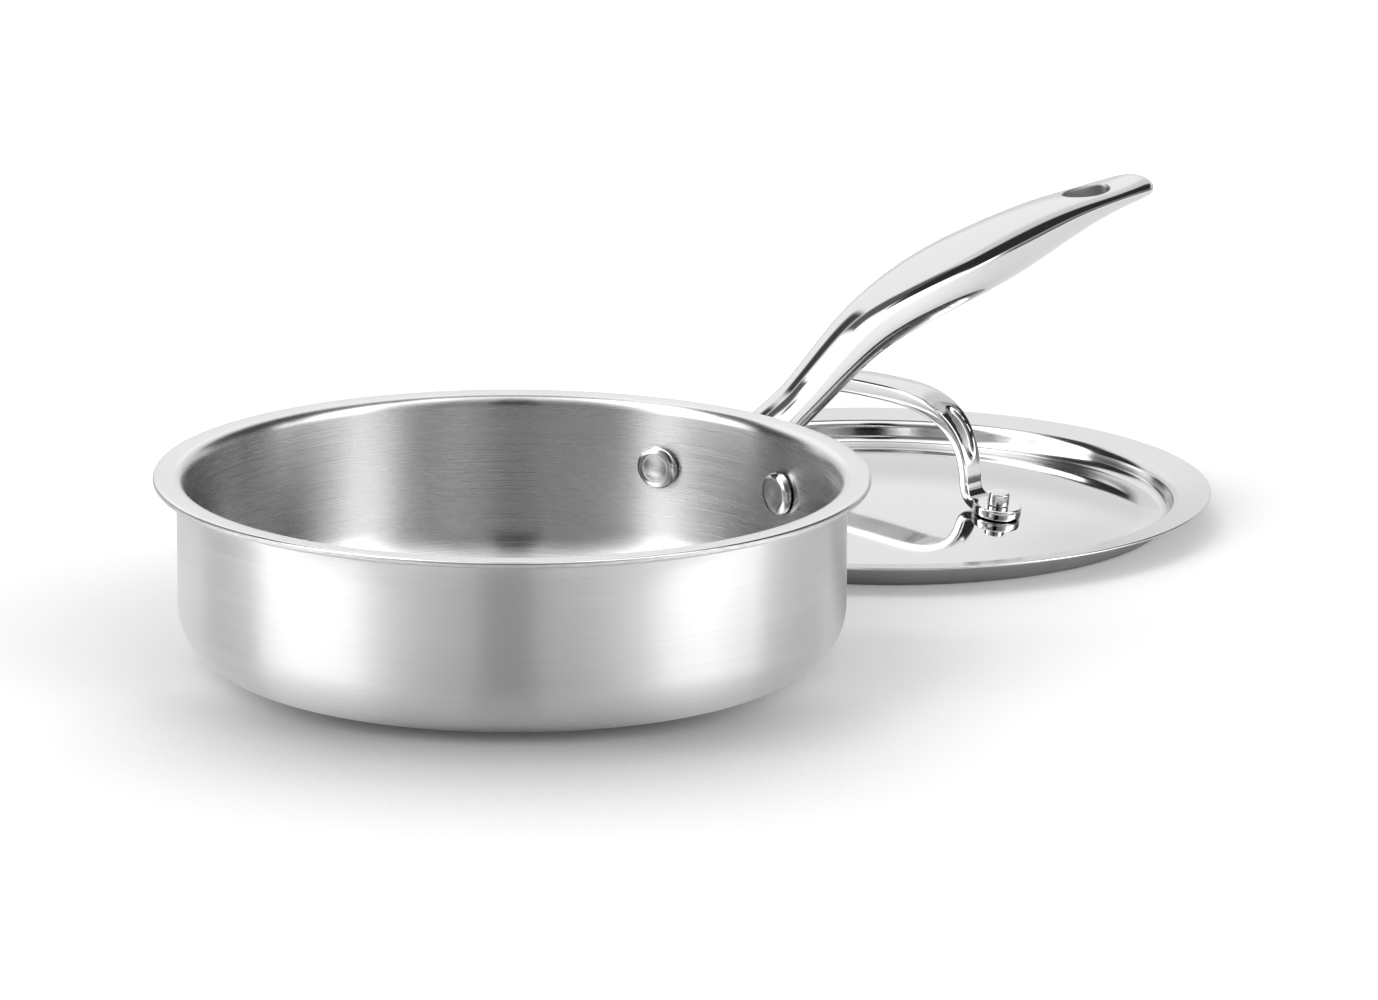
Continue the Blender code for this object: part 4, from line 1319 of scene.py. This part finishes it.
def table_shade(tree, sideways, ahead, from_pan, near_lid, metal_ray, shadow_reach):
    """Share of its light that the table keeps, least close to the pan and the lid."""
    aisle_depth = 0.12
    near = tree.add("ShaderNodeAmbientOcclusion", {"samples": 8}, Distance=shadow_reach)
    towards_back = tree.math("DIVIDE", ahead, from_pan)
    in_front = tree.ramp(towards_back, -0.95, -0.3, 1.0, 0.35)
    by_lid = tree.times(near_lid, tree.less(1.0, metal_ray))
    power = tree.between(by_lid, 3.0, 1.6)
    darkest = tree.between(by_lid, 0.25, 0.85)
    closed = tree.less(1.0, tree.math("POWER", near.outputs["AO"], power))
    closed = tree.times(closed, tree.less(1.0, darkest))
    kept = tree.less(1.0, tree.times(closed, tree.math("MAXIMUM", in_front, by_lid)))
    # the shadow is never deep in the metal's reflections
    least = tree.times(metal_ray, tree.ramp(near_lid, 0.0, 1.0, 0.80, 0.45))
    kept = tree.math("MAXIMUM", kept, least)
    # darker strip of table in front of the pan, under the studio's dark gap
    off_line = tree.math("DIVIDE", sideways, tree.math("MAXIMUM", tree.times(ahead, -1.0), 0.01))
    aisle = tree.times(tree.ramp(off_line, 0.11, 0.13, 1.0, 0.0),
                       tree.ramp(ahead, -0.11, -0.10, 1.0, 0.0))
    return tree.times(kept, tree.less(1.0, tree.times(tree.times(aisle, metal_ray), aisle_depth)))


def floor_material(settings):
    """Pale table that keeps the shadow and shows white to the camera and in the metal."""
    material = bpy.data.materials.new("pale_table")
    material.use_nodes = True
    tree = Tree(material.node_tree)
    tree.nodes.clear()
    place = tree.place()
    tooth = tree.ramp(tree.noise(place, 900.0, 2.0), 0.3, 0.7)
    diffuse = tree.add("ShaderNodeBsdfDiffuse",
                       Color=darkened(tree, settings.floor_colour, 0.01, tooth))
    sideways = tree.math("ABSOLUTE", tree.vector("DOT_PRODUCT", place, VIEW_RIGHT))
    ahead = tree.vector("DOT_PRODUCT", place, VIEW_AHEAD)
    path = tree.add("ShaderNodeLightPath").outputs
    metal_ray = tree.math("MAXIMUM", path["Is Glossy Ray"], path["Is Transmission Ray"])
    from_lid = tree.vector("LENGTH", tree.vector("SUBTRACT", place, (LID_X, LID_Y, 0.0)))
    near_lid = tree.ramp(from_lid, 0.10, 0.17, 1.0, 0.0)
    glow = tree.add("ShaderNodeEmission", Strength=table_glow(
        tree, sideways, ahead, near_lid, metal_ray, path["Is Camera Ray"]))
    total = tree.add("ShaderNodeAddShader")
    tree.links.new(diffuse.outputs[0], total.inputs[0])
    tree.links.new(glow.outputs[0], total.inputs[1])
    shaded = tree.add("ShaderNodeMixShader", Fac=table_shade(
        tree, sideways, ahead, tree.vector("LENGTH", place), near_lid, metal_ray,
        settings.shadow_reach))
    tree.links.new(total.outputs[0], shaded.inputs[2])
    tree.links.new(shaded.outputs[0], tree.add("ShaderNodeOutputMaterial").inputs["Surface"])
    return material


class SAUTE_OT_stage(bpy.types.Operator):
    """Lay the pale table, light the studio and place the camera"""

    bl_idname = "saute_pan.stage"
    bl_label = "Stage"

    def execute(self, context):
        settings = context.scene.saute_pan.stage
        half = settings.floor_size / 2
        corners = [(-half, -half, 0.0), (half, -half, 0.0), (half, half, 0.0), (-half, half, 0.0)]
        mesh = bpy.data.meshes.new("table_top")
        mesh.from_pydata(corners, [], [(0, 1, 2, 3)])
        table = link_piece("table_top", mesh)
        mesh.materials.append(floor_material(settings))
        studio_light(settings)
        add_camera()
        context.scene.view_settings.view_transform = "Standard"
        return {"FINISHED"}


class SAUTE_PT_panel(bpy.types.Panel):
    """Saute pan builder"""

    bl_label = "Saute Pan"
    bl_idname = "SAUTE_PT_panel"
    bl_space_type = "VIEW_3D"
    bl_region_type = "UI"
    bl_category = "Saute Pan"

    def draw(self, context):
        layout = self.layout
        settings = context.scene.saute_pan
        for operator in STEPS:
            layout.operator(operator.bl_idname)
        for name in ("pan", "handle", "lid", "finishes", "stage"):
            box = layout.box()
            group = getattr(settings, name)
            box.label(text=name.capitalize())
            for key in group.__annotations__:
                box.prop(group, key)


STEPS = (
    SAUTE_OT_stage,
    SAUTE_OT_pan_body,
    SAUTE_OT_pan_rivets,
    SAUTE_OT_pan_handle,
    SAUTE_OT_lid_cover,
    SAUTE_OT_lid_handle,
    SAUTE_OT_lid_rivets,
)
GROUPS = (PanSizes, HandleSizes, LidSizes, Finishes, StageSettings, PanSettings)
CLASSES = GROUPS + STEPS + (SAUTE_PT_panel,)


def register():
    for item in CLASSES:
        bpy.utils.register_class(item)
    bpy.types.Scene.saute_pan = PointerProperty(type=PanSettings)


def unregister():
    del bpy.types.Scene.saute_pan
    for item in reversed(CLASSES):
        bpy.utils.unregister_class(item)


def main():
    register()
    for step in STEPS:
        group, name = step.bl_idname.split(".")
        getattr(getattr(bpy.ops, group), name)()


if __name__ == "__main__":
    main()
